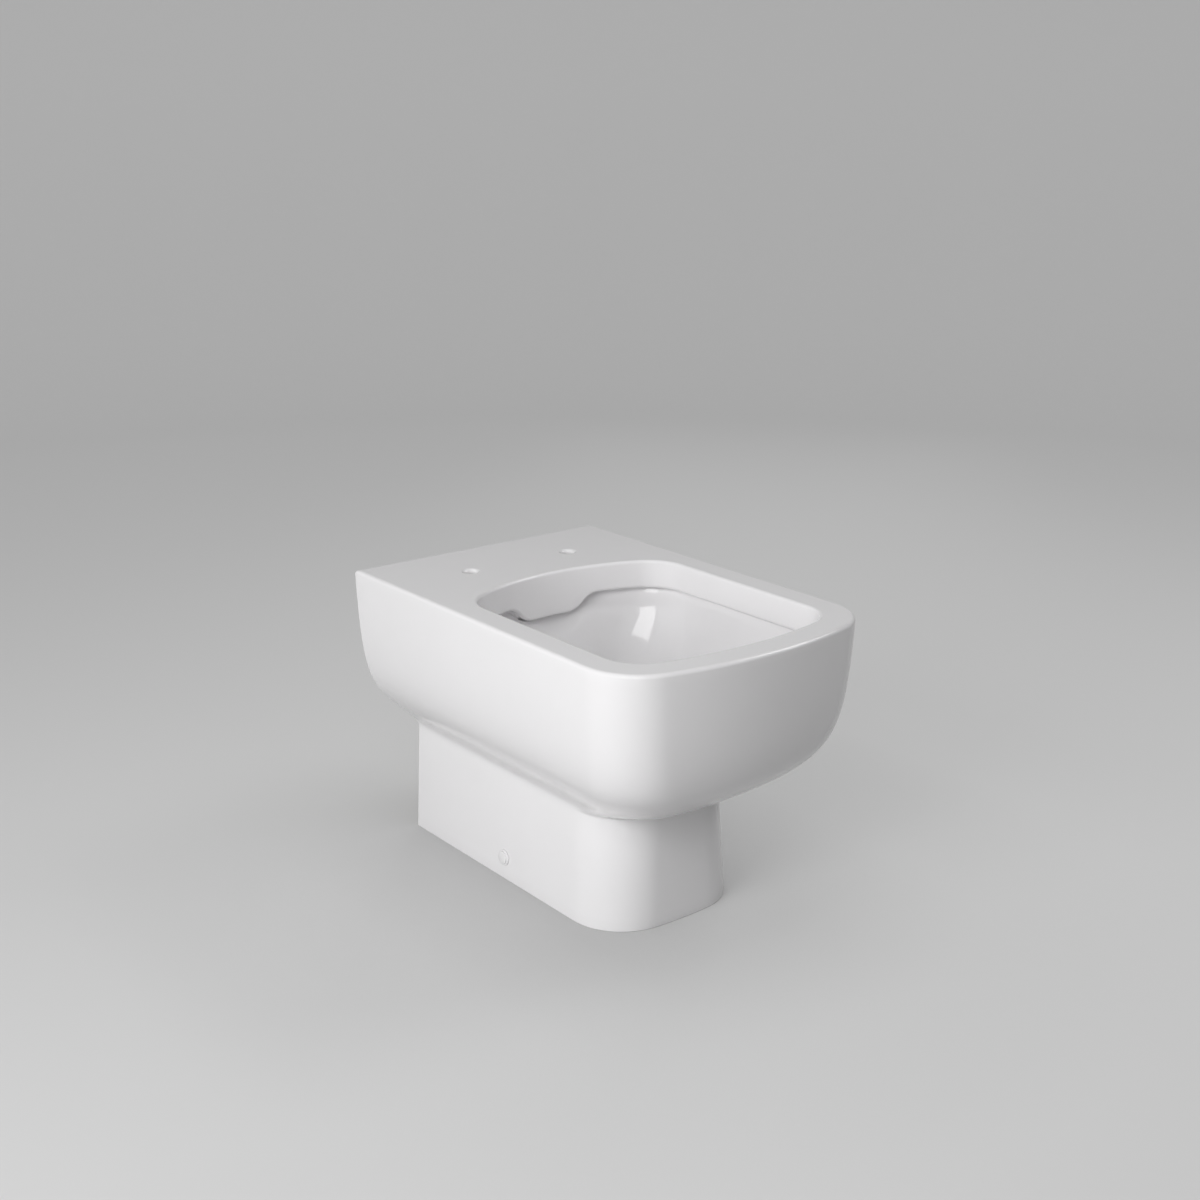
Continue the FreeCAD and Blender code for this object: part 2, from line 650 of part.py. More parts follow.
def aim_fixing(target, side, prefix):
    """Put a piece or sketch on the foot's side, with its own +Z straight out of the china."""
    setattr(target, prefix, FreeCAD.Placement(
        FreeCAD.Vector(0, 0, 0), FreeCAD.Rotation(FreeCAD.Vector(0, side, 0), 90)))
    target.setExpression(f"{prefix}.Base.x", f"{side} * {FIXING_X}")
    target.setExpression(f"{prefix}.Base.y", FIXING_Y)
    target.setExpression(f"{prefix}.Base.z", "sizes.fixing_height")
    target.setExpression(f"{prefix}.Rotation.Angle", FIXING_TILT)


def add_fixing_holes(body):
    """Hole through each side of the foot for its fixing."""
    for name, side in SIDES.items():
        sketch = circle_sketch(body, f"{name}_fixing_ring", "XY_Plane", None, "sizes.fixing_hole")
        aim_fixing(sketch, side, "AttachmentOffset")
        extrude(body, "Pocket", f"{name}_fixing_hole", sketch, "2 * sizes.skin_wall")


def edges_on_top(body):
    """Edges of the pan's level top, grouped: outer rim, opening and seat holes."""
    top = number("sizes.pan_height")
    opening_half = number(OPENING_HALF)
    hole = number("sizes.seat_hole")
    tolerance = 0.01
    groups = {"rim": [], "opening": [], "holes": []}
    wall = number(WALL)
    opening_front = wall - number(OPENING_FRONT)
    opening_rear = wall - number("sizes.deck_depth")
    for index, edge in enumerate(body.Shape.Edges, start=1):
        box = edge.BoundBox
        if abs(box.ZMin - top) > tolerance or abs(box.ZMax - top) > tolerance:
            continue
        inside = (box.XMin > -opening_half - tolerance and box.XMax < opening_half + tolerance
                  and box.YMin > opening_front - tolerance and box.YMax < opening_rear + tolerance)
        if edge.isClosed() and box.XLength < hole + tolerance:
            groups["holes"].append(f"Edge{index}")
        elif inside:
            groups["opening"].append(f"Edge{index}")
        else:
            groups["rim"].append(f"Edge{index}")
    return groups


def round_edges(body):
    """Soft edges of the rim, the opening and the seat holes."""
    for group, radius in (("rim", "sizes.rim_round"), ("opening", "sizes.opening_round"),
                          ("holes", "sizes.seat_hole_lip")):
        doc.recompute()
        base = body.Tip
        edges = edges_on_top(body)[group]
        feature = body.newObject("PartDesign::Fillet", f"{group}_round")
        feature.Base = (base, edges)
        feature.setExpression("Radius", radius)
        body.Tip = feature


def make_pan():
    """The pan, one casting."""
    body = new_body("pan")
    add_outside(body)
    add_hollow(body)
    add_bowl(body)
    add_chamber_housing(body)
    add_waterways(body)
    add_opening(body)
    add_wall_plane(body)
    add_seat_holes(body)
    add_fixing_holes(body)
    round_edges(body)
    return body


def turn(body, name, sketch):
    """Revolve a half profile about the body's own upright axis."""
    feature = body.newObject("PartDesign::Revolution", name)
    feature.Profile = sketch
    feature.ReferenceAxis = (sketch, ["V_Axis"])
    feature.Angle = 360
    return feature


def turned_piece(label, corners):
    """Piece that is one turned profile of straight edges, given as (radius, height) pairs."""
    body = new_body(label)
    sketch = new_sketch(body, f"{label}_profile", "XZ_Plane")
    polygon(sketch, corners)
    turn(body, f"{label}_turning", sketch)
    return body


def hexagon(sketch, width):
    """Regular hexagon of a width across flats, centred on the sketch's origin."""
    radius = f"({width} / (2 * cos(30)))"
    angles = range(0, 360, 60)
    polygon(sketch, [(f"{radius} * cos({angle})", f"{radius} * sin({angle})") for angle in angles])


# Places along a fixing's axis, measured out from the foot's outer face.
SCREW_BORE = "(sizes.screw_diameter / 2 + sizes.screw_gap)"
SLEEVE_OUTER = "(sizes.fixing_hole / 2 - sizes.sleeve_gap)"
SLEEVE_INNER = f"({SLEEVE_OUTER} - sizes.sleeve_wall)"
SLEEVE_END = f"(sizes.sleeve_recess - {FIXING_WALL})"
SLEEVE_SEAT = f"({SLEEVE_END} + sizes.sleeve_floor)"
HEAD_SEAT = f"({SLEEVE_SEAT} + sizes.washer_thickness)"
LEG_INNER = f"(-{FIXING_WALL} - sizes.bracket_gap - sizes.bracket_leg)"
NUT_END = f"({LEG_INNER} - sizes.nut_gap - sizes.nut_thickness)"


def make_sleeve(label):
    """Plastic cup that lines the fixing hole, with a flange on the china and a floor under the washer."""
    flange = "(sizes.sleeve_flange / 2)"
    return turned_piece(label, [
        (SCREW_BORE, SLEEVE_END), (SLEEVE_OUTER, SLEEVE_END), (SLEEVE_OUTER, "0"), (flange, "0"),
        (flange, "sizes.sleeve_flange_thickness"), (SLEEVE_INNER, "sizes.sleeve_flange_thickness"),
        (SLEEVE_INNER, SLEEVE_SEAT), (SCREW_BORE, SLEEVE_SEAT),
    ])


def make_washer(label):
    """Flat washer on the sleeve's floor."""
    rim = "(sizes.washer_diameter / 2)"
    return turned_piece(label, [
        (SCREW_BORE, SLEEVE_SEAT), (rim, SLEEVE_SEAT), (rim, HEAD_SEAT), (SCREW_BORE, HEAD_SEAT),
    ])


def make_side_screw(label):
    """Socket screw from the sleeve through the bracket into its nut."""
    shank = "(sizes.screw_diameter / 2)"
    head = "(sizes.screw_head / 2)"
    tip = f"({NUT_END} - sizes.screw_tail)"
    top = f"({HEAD_SEAT} + sizes.screw_head_height)"
    body = turned_piece(label, [
        ("0", tip), (f"({shank} - sizes.screw_point)", tip), (shank, f"({tip} + sizes.screw_point)"),
        (shank, HEAD_SEAT), (head, HEAD_SEAT), (head, f"({top} - sizes.screw_point)"),
        (f"({head} - sizes.screw_point)", top), ("0", top),
    ])
    socket = new_sketch(body, f"{label}_socket_outline", "XY_Plane", top)
    hexagon(socket, "sizes.screw_socket")
    extrude(body, "Pocket", f"{label}_socket", socket, "sizes.screw_socket_depth")
    return body


def make_bracket_nut(label):
    """Hexagon nut behind the bracket's leg."""
    body = new_body(label)
    outline = new_sketch(body, f"{label}_outline", "XY_Plane", NUT_END)
    hexagon(outline, "sizes.nut_width")
    extrude(body, "Pad", f"{label}_block", outline, "sizes.nut_thickness")
    thread = circle_sketch(body, f"{label}_thread", "XY_Plane", NUT_END,
                           "(sizes.screw_diameter + 2 * sizes.nut_gap)")
    extrude(body, "Pocket", f"{label}_bore", thread, "sizes.nut_thickness", backwards=True)
    return body


def make_cover_cap(label):
    """Cap that hides the sleeve's flange and plugs into its mouth, with a domed button on its flat rim."""
    body = new_body(label)
    sketch = new_sketch(body, f"{label}_profile", "XZ_Plane")
    rim = "(sizes.cap_diameter / 2)"
    button = "(sizes.cap_button / 2)"
    edge_top = "(sizes.cap_gap + sizes.cap_edge)"
    dome_foot = f"({edge_top} + sizes.cap_button_side)"
    crown = f"({dome_foot} + sizes.cap_crown)"
    underside = "(sizes.sleeve_flange_thickness + sizes.cap_gap)"
    recess = "(sizes.sleeve_flange / 2 + sizes.cap_gap)"
    plug = f"({SLEEVE_INNER} - sizes.cap_gap)"
    plug_inner = f"({plug} - sizes.cap_plug_wall)"
    plug_end = f"({underside} - sizes.cap_plug_length)"
    corners = [(button, dome_foot), (button, edge_top), (rim, edge_top), (rim, "sizes.cap_gap"),
               (recess, "sizes.cap_gap"), (recess, underside), (plug, underside), (plug, plug_end),
               (plug_inner, plug_end), (plug_inner, underside), ("0", underside), ("0", crown)]
    points = [(number(across), number(up)) for across, up in corners]
    sketch.addGeometry([line(points[index], points[index + 1]) for index in range(len(points) - 1)])
    dome_radius = f"(({button}^2 + sizes.cap_crown^2) / (2 * sizes.cap_crown))"
    radius = number(dome_radius)
    foot_angle = math.acos(number(button) / radius)
    sketch.addGeometry(arc((0, number(crown) - radius), radius, foot_angle, math.pi / 2))
    dome = len(corners) - 1
    for index in range(1, dome):
        sketch.addConstraint(Sketcher.Constraint("Coincident", index - 1, 2, index, 1))
    sketch.addConstraint(Sketcher.Constraint("Coincident", dome, 1, 0, 1))
    sketch.addConstraint(Sketcher.Constraint("Coincident", dome - 1, 2, dome, 2))
    for index, (across, up) in enumerate(corners[:-1]):
        dimension(sketch, across, "DistanceX", -1, 1, index, 1)
        dimension(sketch, up, "DistanceY", -1, 1, index, 1)
    dimension(sketch, "0", "DistanceX", -1, 1, dome, 2)
    dimension(sketch, crown, "DistanceY", -1, 1, dome, 2)
    dimension(sketch, dome_radius, "Radius", dome)
    turn(body, f"{label}_turning", sketch)
    return body


# Outer face of a bracket's leg at floor level.
BRACKET_X = ("(sizes.foot_width / 2 + sizes.skin_lift * tan(sizes.foot_draft) - sizes.skin_wall"
             " - sizes.bracket_gap / cos(sizes.foot_draft))")


def make_floor_bracket(label, side):
    """Angle inside the foot: its leg leans with the china, its foot is screwed to the floor."""
    body = new_body(label)
    slope = "tan(sizes.foot_draft)"
    leg = "(sizes.bracket_leg / cos(sizes.foot_draft))"
    foot_top = "sizes.bracket_foot_thickness"
    profile_sketch = new_sketch(body, f"{label}_profile", "XZ_Plane", "(-sizes.bracket_width / 2)")
    polygon(profile_sketch, [
        ("0", "0"), (f"(-sizes.bracket_height * {slope})", "sizes.bracket_height"),
        (f"(-{leg} - sizes.bracket_height * {slope})", "sizes.bracket_height"),
        (f"(-{leg} - {foot_top} * {slope})", foot_top),
        ("(-sizes.bracket_foot)", foot_top), ("(-sizes.bracket_foot)", "0"),
    ])
    extrude(body, "Pad", f"{label}_angle", profile_sketch, "sizes.bracket_width")
    gusset_width = "sizes.bracket_gusset"
    gusset_offsets = {"rear": "(-sizes.bracket_width / 2)",
                      "front": f"(sizes.bracket_width / 2 - {gusset_width})"}
    for end, offset in gusset_offsets.items():
        gusset = new_sketch(body, f"{label}_{end}_gusset_outline", "XZ_Plane", offset)
        polygon(gusset, [
            (f"(-{leg} / 2)", "(sizes.bracket_foot_thickness / 2)"),
            (f"(-{leg} / 2 - sizes.bracket_height * {slope})", "sizes.bracket_height"),
            (f"(-{leg} - sizes.bracket_height * {slope})", "sizes.bracket_height"),
            ("(-sizes.bracket_foot)", foot_top),
            ("(-sizes.bracket_foot)", "(sizes.bracket_foot_thickness / 2)"),
        ])
        extrude(body, "Pad", f"{label}_{end}_gusset", gusset, gusset_width)
    floor_hole = circle_sketch(body, f"{label}_floor_ring", "XY_Plane", foot_top, "sizes.bracket_hole",
                               across="(-sizes.bracket_hole_inset)")
    extrude(body, "Pocket", f"{label}_floor_hole", floor_hole, f"2 * {foot_top}")
    side_hole = circle_sketch(body, f"{label}_side_ring", "XY_Plane", None, f"(2 * {SCREW_BORE})")
    side_hole.AttachmentOffset = FreeCAD.Placement(
        FreeCAD.Vector(0, 0, 0), FreeCAD.Rotation(FreeCAD.Vector(0, 1, 0), 90))
    side_hole.setExpression("AttachmentOffset.Base.x", f"{FIXING_X} - {BRACKET_X}")
    side_hole.setExpression("AttachmentOffset.Base.z", "sizes.fixing_height")
    side_hole.setExpression("AttachmentOffset.Rotation.Angle", FIXING_TILT)
    extrude(body, "Pocket", f"{label}_side_hole", side_hole, f"(-{LEG_INNER} + sizes.bracket_leg)")
    facing = 0 if side > 0 else 180
    body.Placement = FreeCAD.Placement(
        FreeCAD.Vector(0, 0, 0), FreeCAD.Rotation(FreeCAD.Vector(0, 0, 1), facing))
    body.setExpression("Placement.Base.x", f"{side} * {BRACKET_X}")
    body.setExpression("Placement.Base.y", FIXING_Y)
    return body


def make_flush_inlet_seal(label):
    """Rubber ring in the inlet horn: a collar outside, ribs inside, and the flush pipe's bore."""
    bore = "(sizes.flush_pipe / 2)"
    rib = "(sizes.inlet_bore / 2 - sizes.seal_gap)"
    groove = f"({rib} - sizes.seal_groove)"
    collar = "(sizes.seal_collar / 2)"
    neck = "(sizes.seal_length - sizes.seal_collar_thickness)"
    steps = 5
    corners = [(bore, f"(-{neck})")]
    for index in range(steps):
        radius = groove if index % 2 else rib
        corners.append((radius, f"(-{neck} * {steps - index} / {steps})"))
        corners.append((radius, f"(-{neck} * {steps - index - 1} / {steps})"))
    corners += [(collar, "0"), (collar, "sizes.seal_collar_thickness"),
                (bore, "sizes.seal_collar_thickness")]
    body = turned_piece(label, corners)
    body.Placement = FreeCAD.Placement(
        FreeCAD.Vector(0, 0, 0), FreeCAD.Rotation(FreeCAD.Vector(1, 0, 0), -90))
    body.setExpression("Placement.Base.y", f"{WALL} - sizes.inlet_setback")
    body.setExpression("Placement.Base.z", INLET_HEIGHT)
    return body


def make_fixings():
    """Side fixings of the foot, left and right."""
    fixings = []
    for name, side in SIDES.items():
        stack = [make_sleeve(f"{name}_sleeve"), make_washer(f"{name}_washer"),
                 make_side_screw(f"{name}_side_screw"), make_bracket_nut(f"{name}_bracket_nut"),
                 make_cover_cap(f"{name}_cover_cap")]
        for piece in stack:
            aim_fixing(piece, side, "Placement")
        fixings += stack
        fixings.append(make_floor_bracket(f"{name}_floor_bracket", side))
    return fixings


pieces = [make_pan(), make_flush_inlet_seal("flush_inlet_seal")] + make_fixings()
doc.recompute()

for item in doc.Objects:
    if "Invalid" in item.State or "Error" in item.State:
        raise RuntimeError(f"{item.Label} failed: {item.State}")
for piece in pieces:
    if piece.Shape.isNull() or not piece.Shape.isValid():
        raise RuntimeError(f"{piece.Label} has no valid shape")

os.makedirs("parts", exist_ok=True)
for piece in pieces:
    piece.Shape.exportStep(f"parts/{piece.Label}.step")
    print(piece.Label, round(piece.Shape.Volume), len(piece.Shape.Solids), piece.Shape.BoundBox)
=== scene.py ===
import logging
import math
from dataclasses import dataclass
from enum import Enum, IntEnum
from functools import lru_cache

import bmesh
import bpy
from mathutils import Matrix, Quaternion, Vector


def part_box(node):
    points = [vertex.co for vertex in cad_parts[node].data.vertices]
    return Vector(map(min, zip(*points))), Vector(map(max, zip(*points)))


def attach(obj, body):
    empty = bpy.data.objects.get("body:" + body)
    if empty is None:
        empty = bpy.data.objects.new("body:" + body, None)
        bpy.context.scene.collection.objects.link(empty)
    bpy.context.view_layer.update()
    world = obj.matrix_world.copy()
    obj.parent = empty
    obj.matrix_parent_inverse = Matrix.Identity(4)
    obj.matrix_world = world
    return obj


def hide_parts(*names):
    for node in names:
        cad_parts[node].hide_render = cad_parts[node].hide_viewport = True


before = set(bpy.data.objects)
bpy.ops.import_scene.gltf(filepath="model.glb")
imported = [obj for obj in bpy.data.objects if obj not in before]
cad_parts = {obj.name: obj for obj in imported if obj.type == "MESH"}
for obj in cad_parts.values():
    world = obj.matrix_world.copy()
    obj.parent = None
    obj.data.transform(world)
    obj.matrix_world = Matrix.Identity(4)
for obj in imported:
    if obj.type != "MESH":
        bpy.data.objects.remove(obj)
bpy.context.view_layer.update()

MM = 0.001
# Points closer than this are one, in millimetres.
WELD = 0.002
# How much narrower and shallower than its CAD box the casting is made, in millimetres.
BOX_GAP = 0.2
SMOOTH_ANGLE = math.radians(38)
QUARTER = math.pi / 2
FULL_TURN = 4 * QUARTER
# Longest share of an edge that a rounded corner may take.
ROUND_SHARE = 0.45
# Columns of turned pieces, and of the seat holes.
SPOKES = 48
HOLE_SPOKES = 40
# Columns of the skin's half outline: straight side, corner and bow.
SKIN_COLUMNS = (44, 22, 18)
# Columns of the bowl's half ring: rear bow, rear corner, side, front corner and front bow.
RING_COLUMNS = (40, 18, 22, 18, 20)
# Columns along the back edge of the rim.
BACK_COLUMNS = 32
# Pitches of the rows from the lowest up, in millimetres: skin, hollow and the bowl's shell.
SKIN_PITCHES = (14, 1.2, 4, 8)
HOLLOW_PITCHES = (14, 6, 10)
SHELL_PITCHES = (9, 2, 9)
SPIGOT_PITCH = 10
# Shares of the rim band's height that have rows of their own, the first close under the round.
BAND_SHARES = (0.04, 0.3, 0.55, 0.8, 1)
# Steps of rounded edges: wide ones, the seat holes' lips, narrow ones and the spigot's end.
WIDE_STEPS = 8
LIP_STEPS = 6
NARROW_STEPS = 4
SPIGOT_STEPS = 3
# Steps of the caps' domes and of the floor's cove.
DOME_STEPS = 10
COVE_STEPS = 16
# Range over which a noise's clouds change a finish, and how far they swing its roughness.
CLOUD_RANGE = (0.3, 0.7)
POLISH_SWING = (0.85, 1.2)

Flat = tuple[float, float]
Point = tuple[float, float, float]
Row = list[Point]

log = logging.getLogger("toilet_pan")


class Surface(IntEnum):
    """Which finish a face of the casting takes."""

    GLAZE = 0
    BISCUIT = 1


class Side(Enum):
    """Side of the pan, seen from its front towards the wall."""

    LEFT = -1
    RIGHT = 1


class Carving(Enum):
    """What a tool does to a piece, by the modifier's own names."""

    JOIN = "UNION"
    CUT = "DIFFERENCE"


def linear(colour: str) -> tuple[float, float, float, float]:
    """Turn an sRGB hex colour to linear light.

    Args:
        colour: six hex digits after a hash.

    Returns:
        Red, green, blue and a full alpha.
    """
    shares = [int(colour[place:place + 2], 16) / 255 for place in (1, 3, 5)]
    light = [share / 12.92 if share <= 0.04045 else ((share + 0.055) / 1.055) ** 2.4 for share in shares]
    return light[0], light[1], light[2], 1.0


def per_metre(size: float) -> float:
    """Texture scale on Object coordinates that gives features of a size in millimetres."""
    return 1 / (size * MM)


def add_node(tree: bpy.types.NodeTree, kind: str, settings: dict[str, object] | None = None,
             inputs: dict[str | int, object] | None = None) -> bpy.types.Node:
    """Add a node with its settings and links.

    Args:
        tree: node tree that gets the node.
        kind: Blender's identifier of the node.
        settings: properties by name.
        inputs: input sockets by name or number, each given a value, an output socket or a list of them.

    Returns:
        The new node.
    """
    node = tree.nodes.new(kind)
    for name, value in (settings or {}).items():
        setattr(node, name, value)
    for key, value in (inputs or {}).items():
        for source in value if isinstance(value, list) else [value]:
            if isinstance(source, bpy.types.NodeSocket):
                tree.links.new(source, node.inputs[key])
            else:
                node.inputs[key].default_value = source
    return node


@dataclass(frozen=True)
class Finish:
    """A surface that is named for its real material and paints its own shader.

    Mottle and grain are the sizes of its clouds and bumps, and relief is the bumps' height, in millimetres.
    """

    name: str
    colour: str
    shade: str
    roughness: float
    mottle: float
    grain: float
    relief: float
    ior: float = 1.5

    def material(self) -> bpy.types.Material:
        """Make the material, or find it where it was made before.

        Returns:
            The finish's one material.
        """
        made = bpy.data.materials.get(self.name)
        if made:
            return made
        material = bpy.data.materials.new(self.name)
        material.use_nodes = True
        tree = material.node_tree
        shader = tree.nodes["Principled BSDF"]
        self.set_constants(shader)
        self.paint(tree, shader, add_node(tree, "ShaderNodeTexCoord").outputs["Object"])
        return material

    def set_constants(self, shader: bpy.types.Node) -> None:
        """Set what is the same all over the surface."""
        shader.inputs["IOR"].default_value = self.ior

    def paint(self, tree: bpy.types.NodeTree, shader: bpy.types.Node, place: bpy.types.NodeSocket) -> None:
        """Give the shader two tones in soft clouds, a roughness that follows them, and a fine relief.

        Args:
            tree: the material's node tree.
            shader: its Principled BSDF.
            place: Object coordinates in metres.
        """
        clouds = add_node(tree, "ShaderNodeTexNoise", {}, {
            "Vector": place, "Scale": per_metre(self.mottle), "Detail": 3.0, "Roughness": 0.55})
        tones = add_node(tree, "ShaderNodeMix", {"data_type": "RGBA"}, {
            0: clouds.outputs[0], 6: linear(self.colour), 7: linear(self.shade)})
        polish = add_node(tree, "ShaderNodeMapRange", {}, {
            "Value": clouds.outputs[0], "From Min": CLOUD_RANGE[0], "From Max": CLOUD_RANGE[1],
            "To Min": self.roughness * POLISH_SWING[0], "To Max": self.roughness * POLISH_SWING[1]})
        grain = add_node(tree, "ShaderNodeTexNoise", {}, {
            "Vector": place, "Scale": per_metre(self.grain), "Detail": 2.0})
        bump = add_node(tree, "ShaderNodeBump", {}, {
            "Height": grain.outputs[0], "Strength": 1.0, "Distance": self.relief * MM})
        tree.links.new(tones.outputs[2], shader.inputs["Base Color"])
        tree.links.new(polish.outputs[0], shader.inputs["Roughness"])
        tree.links.new(bump.outputs[0], shader.inputs["Normal"])


@dataclass(frozen=True)
class MetalFinish(Finish):
    """A plated metal, which mirrors its surroundings in its own colour."""

    def set_constants(self, shader: bpy.types.Node) -> None:
        """Make the shader a metal."""
        shader.inputs["Metallic"].default_value = 1


@dataclass(frozen=True)
class FibreFinish(Finish):
    """A plastic filled with short fibres, which show as pale flecks along the flow of the moulding."""

    fleck: str = "#9A9C9E"
    fleck_width: float = 0.5
    fleck_length: float = 4
    fleck_range: Flat = (0.62, 0.78)
    fleck_share: float = 0.5

    def paint(self, tree: bpy.types.NodeTree, shader: bpy.types.Node, place: bpy.types.NodeSocket) -> None:
        """Lay the flecks over the clouds of the plain finish.

        Args:
            tree: the material's node tree.
            shader: its Principled BSDF.
            place: Object coordinates in metres.
        """
        super().paint(tree, shader, place)
        tones = shader.inputs["Base Color"].links[0].from_socket
        stretch = add_node(tree, "ShaderNodeMapping", {}, {
            "Vector": place, "Scale": (1, self.fleck_width / self.fleck_length, 1)})
        fibres = add_node(tree, "ShaderNodeTexNoise", {}, {
            "Vector": stretch.outputs[0], "Scale": per_metre(self.fleck_width), "Detail": 1.0})
        share = add_node(tree, "ShaderNodeMapRange", {}, {
            "Value": fibres.outputs[0], "From Min": self.fleck_range[0], "From Max": self.fleck_range[1],
            "To Max": self.fleck_share})
        flecked = add_node(tree, "ShaderNodeMix", {"data_type": "RGBA"}, {
            0: share.outputs[0], 6: tones, 7: linear(self.fleck)})
        tree.links.new(flecked.outputs[2], shader.inputs["Base Color"])


# Vitreous china under a fired white glaze: a wet gloss with a faint swell in its reflections.
GLAZE = Finish("glazed_vitreous_china", "#EFEEEF", "#ECEBEC", 0.07, 110, 16, 0.012, 1.52)
# The same body where it was left without glaze: chalky and cream, with a grain drawn coarse enough to show.
BISCUIT = Finish("biscuit_china", "#E9E4DA", "#DCD5C8", 0.78, 45, 1.6, 0.06)
# Moulded ABS: white like the glaze, a little softer in its shine.
CAP_ABS = Finish("moulded_abs", "#EDECED", "#E8E7E8", 0.2, 12, 2.2, 0.004, 1.54)
# Polypropylene as it comes from the mould: milky, waxy and half dull.
POLYPROPYLENE = Finish("natural_polypropylene", "#DADAD4", "#CDCDC6", 0.42, 9, 0.9, 0.02, 1.49)
# Zinc on steel: a bright, faintly blue metal with a fine cloudy spangle.
ZINC = MetalFinish("zinc_plated_steel", "#C6CBD1", "#AEB4BC", 0.3, 3.5, 0.6, 0.008)
# Nylon with glass fibre: dull grey with pale flecks where the fibres reach the surface. They are drawn
# wider than real fibres, so that they show.
NYLON = FibreFinish("glass_filled_nylon", "#5B5D60", "#505255", 0.5, 14, 0.8, 0.03, 1.53)
# EPDM rubber: black with a powdery bloom.
EPDM = Finish("epdm_rubber", "#1D1D1E", "#2B2B2C", 0.68, 7, 0.7, 0.03, 1.52)


def between(low: float, high: float, share: float) -> float:
    """Value at a share of the way from one to another."""
    return low + (high - low) * share


def ease(share: float) -> float:
    """Smooth step from 0 to 1."""
    share = min(max(share, 0), 1)
    return share * share * (3 - 2 * share)


def soft_max(first: float, second: float, blend: float) -> float:
    """Greater of two lengths, with an even curve through the corner between them."""
    overlap = max(1 - abs(first - second) / blend, 0)
    return max(first, second) + blend * overlap ** 3 / 6


def knee(run: float, slope: float, blend: float) -> float:
    """Rounded step from a sloping underside to an upright side, 0 far above the knee."""
    half_run = slope * run / 2
    return half_run - math.hypot(half_run, blend)


def spaced(low: float, high: float, pitch: float) -> list[float]:
    """Even steps from one value to another, both ends included, about a pitch apart."""
    count = max(1, round(abs(high - low) / pitch))
    return [between(low, high, step / count) for step in range(count + 1)]


def graded(stops: list[float], pitches: tuple[float, ...]) -> list[float]:
    """Steps through several stretches in a row.

    Args:
        stops: ends of the stretches, in order.
        pitches: about how far apart the steps of each stretch are.

    Returns:
        All steps, with each stop once.
    """
    steps = stops[:1]
    for low, high, pitch in zip(stops, stops[1:], pitches):
        steps += spaced(low, high, pitch)[1:]
    return steps


def quarter_round(radius: float, steps: int) -> list[Flat]:
    """Places across a rounded edge between two square faces.

    Args:
        radius: radius of the round.
        steps: how many steps it has.

    Returns:
        Pairs of distances from the second face and from the first, in order from the first to the second.
    """
    angles = [QUARTER * step / steps for step in range(steps + 1)]
    return [(radius * (1 - math.sin(angle)), radius * (1 - math.cos(angle))) for angle in angles]


def arc(centre: Flat, radius: float, start: float, end: float, count: int) -> list[Flat]:
    """Points along an arc, without its first one.

    Args:
        centre: middle of the arc.
        radius: its radius.
        start: first angle, in radians.
        end: last angle.
        count: how many points.

    Returns:
        The points, ending on the last angle.
    """
    angles = [start + (end - start) * step / count for step in range(1, count + 1)]
    return [(centre[0] + radius * math.cos(angle), centre[1] + radius * math.sin(angle)) for angle in angles]


def bowed_end(half: float, reach: float, corner: float, bow: float) -> tuple[float, float, float]:
    """Round corner between a straight side and a bowed end.

    Args:
        half: half of the width between the sides.
        reach: how far the bow's middle reaches along its own axis.
        corner: radius of the corner.
        bow: radius of the bow.

    Returns:
        The corner's centre across and along, and the angle at which it meets the bow.
    """
    across = half - corner
    along = reach - bow + math.sqrt((bow - corner) ** 2 - across ** 2)
    return across, along, math.acos(across / (bow - corner))


def soften(corners: list[Flat], radius: float, ring: bool) -> list[Flat]:
    """Round the corners of an outline.

    Args:
        corners: corners in order.
        radius: length that a round takes from its two edges, less on short edges.
        ring: whether the outline is closed. Otherwise its two ends stay as they are.

    Returns:
        Points of the rounded outline, with the first one again at the end of a ring.
    """
    points = []
    for index, corner in enumerate(corners):
        here = Vector(corner)
        if not ring and index in (0, len(corners) - 1):
            points.append(corner)
            continue
        back = Vector(corners[index - 1]) - here
        ahead = Vector(corners[(index + 1) % len(corners)]) - here
        reach = min(radius, back.length * ROUND_SHARE, ahead.length * ROUND_SHARE)
        start = here + back.normalized() * reach
        end = here + ahead.normalized() * reach
        for share in (0, 0.25, 0.5, 0.75, 1):
            points.append(tuple(start.lerp(here, share).lerp(here.lerp(end, share), share)))
    return points + points[:1] if ring else points


def at_height(outline: list[Flat], height: float) -> Row:
    """Level row of points over a flat outline."""
    return [(x, y, height) for x, y in outline]


def add_grid(bm: bmesh.types.BMesh, rows: list[Row], closed: bool, surface: int = 0) -> None:
    """Add a sheet of quads through rows of points.

    Args:
        bm: mesh in millimetres that gets the sheet.
        rows: equally long rows of points.
        closed: whether the last column joins the first.
        surface: material index of the faces.
    """
    made = [[bm.verts.new(point) for point in row] for row in rows]
    columns = len(rows[0])
    for upper, lower in zip(made, made[1:]):
        for index in range(columns if closed else columns - 1):
            after = (index + 1) % columns
            face = bm.faces.new((upper[index], lower[index], lower[after], upper[after]))
            face.material_index = surface


def add_lathe(bm: bmesh.types.BMesh, profile: list[Flat], place: Matrix, surface: int = 0) -> None:
    """Turn a half profile about the Z axis of a place.

    Args:
        bm: mesh in millimetres that gets the turned sheet.
        profile: points of radius and height.
        place: frame of the axis.
        surface: material index of the faces.
    """
    rows = [at_height(arc((0, 0), radius, 0, FULL_TURN, SPOKES), height) for radius, height in profile]
    add_grid(bm, [[place @ Vector(point) for point in row] for row in rows], True, surface)


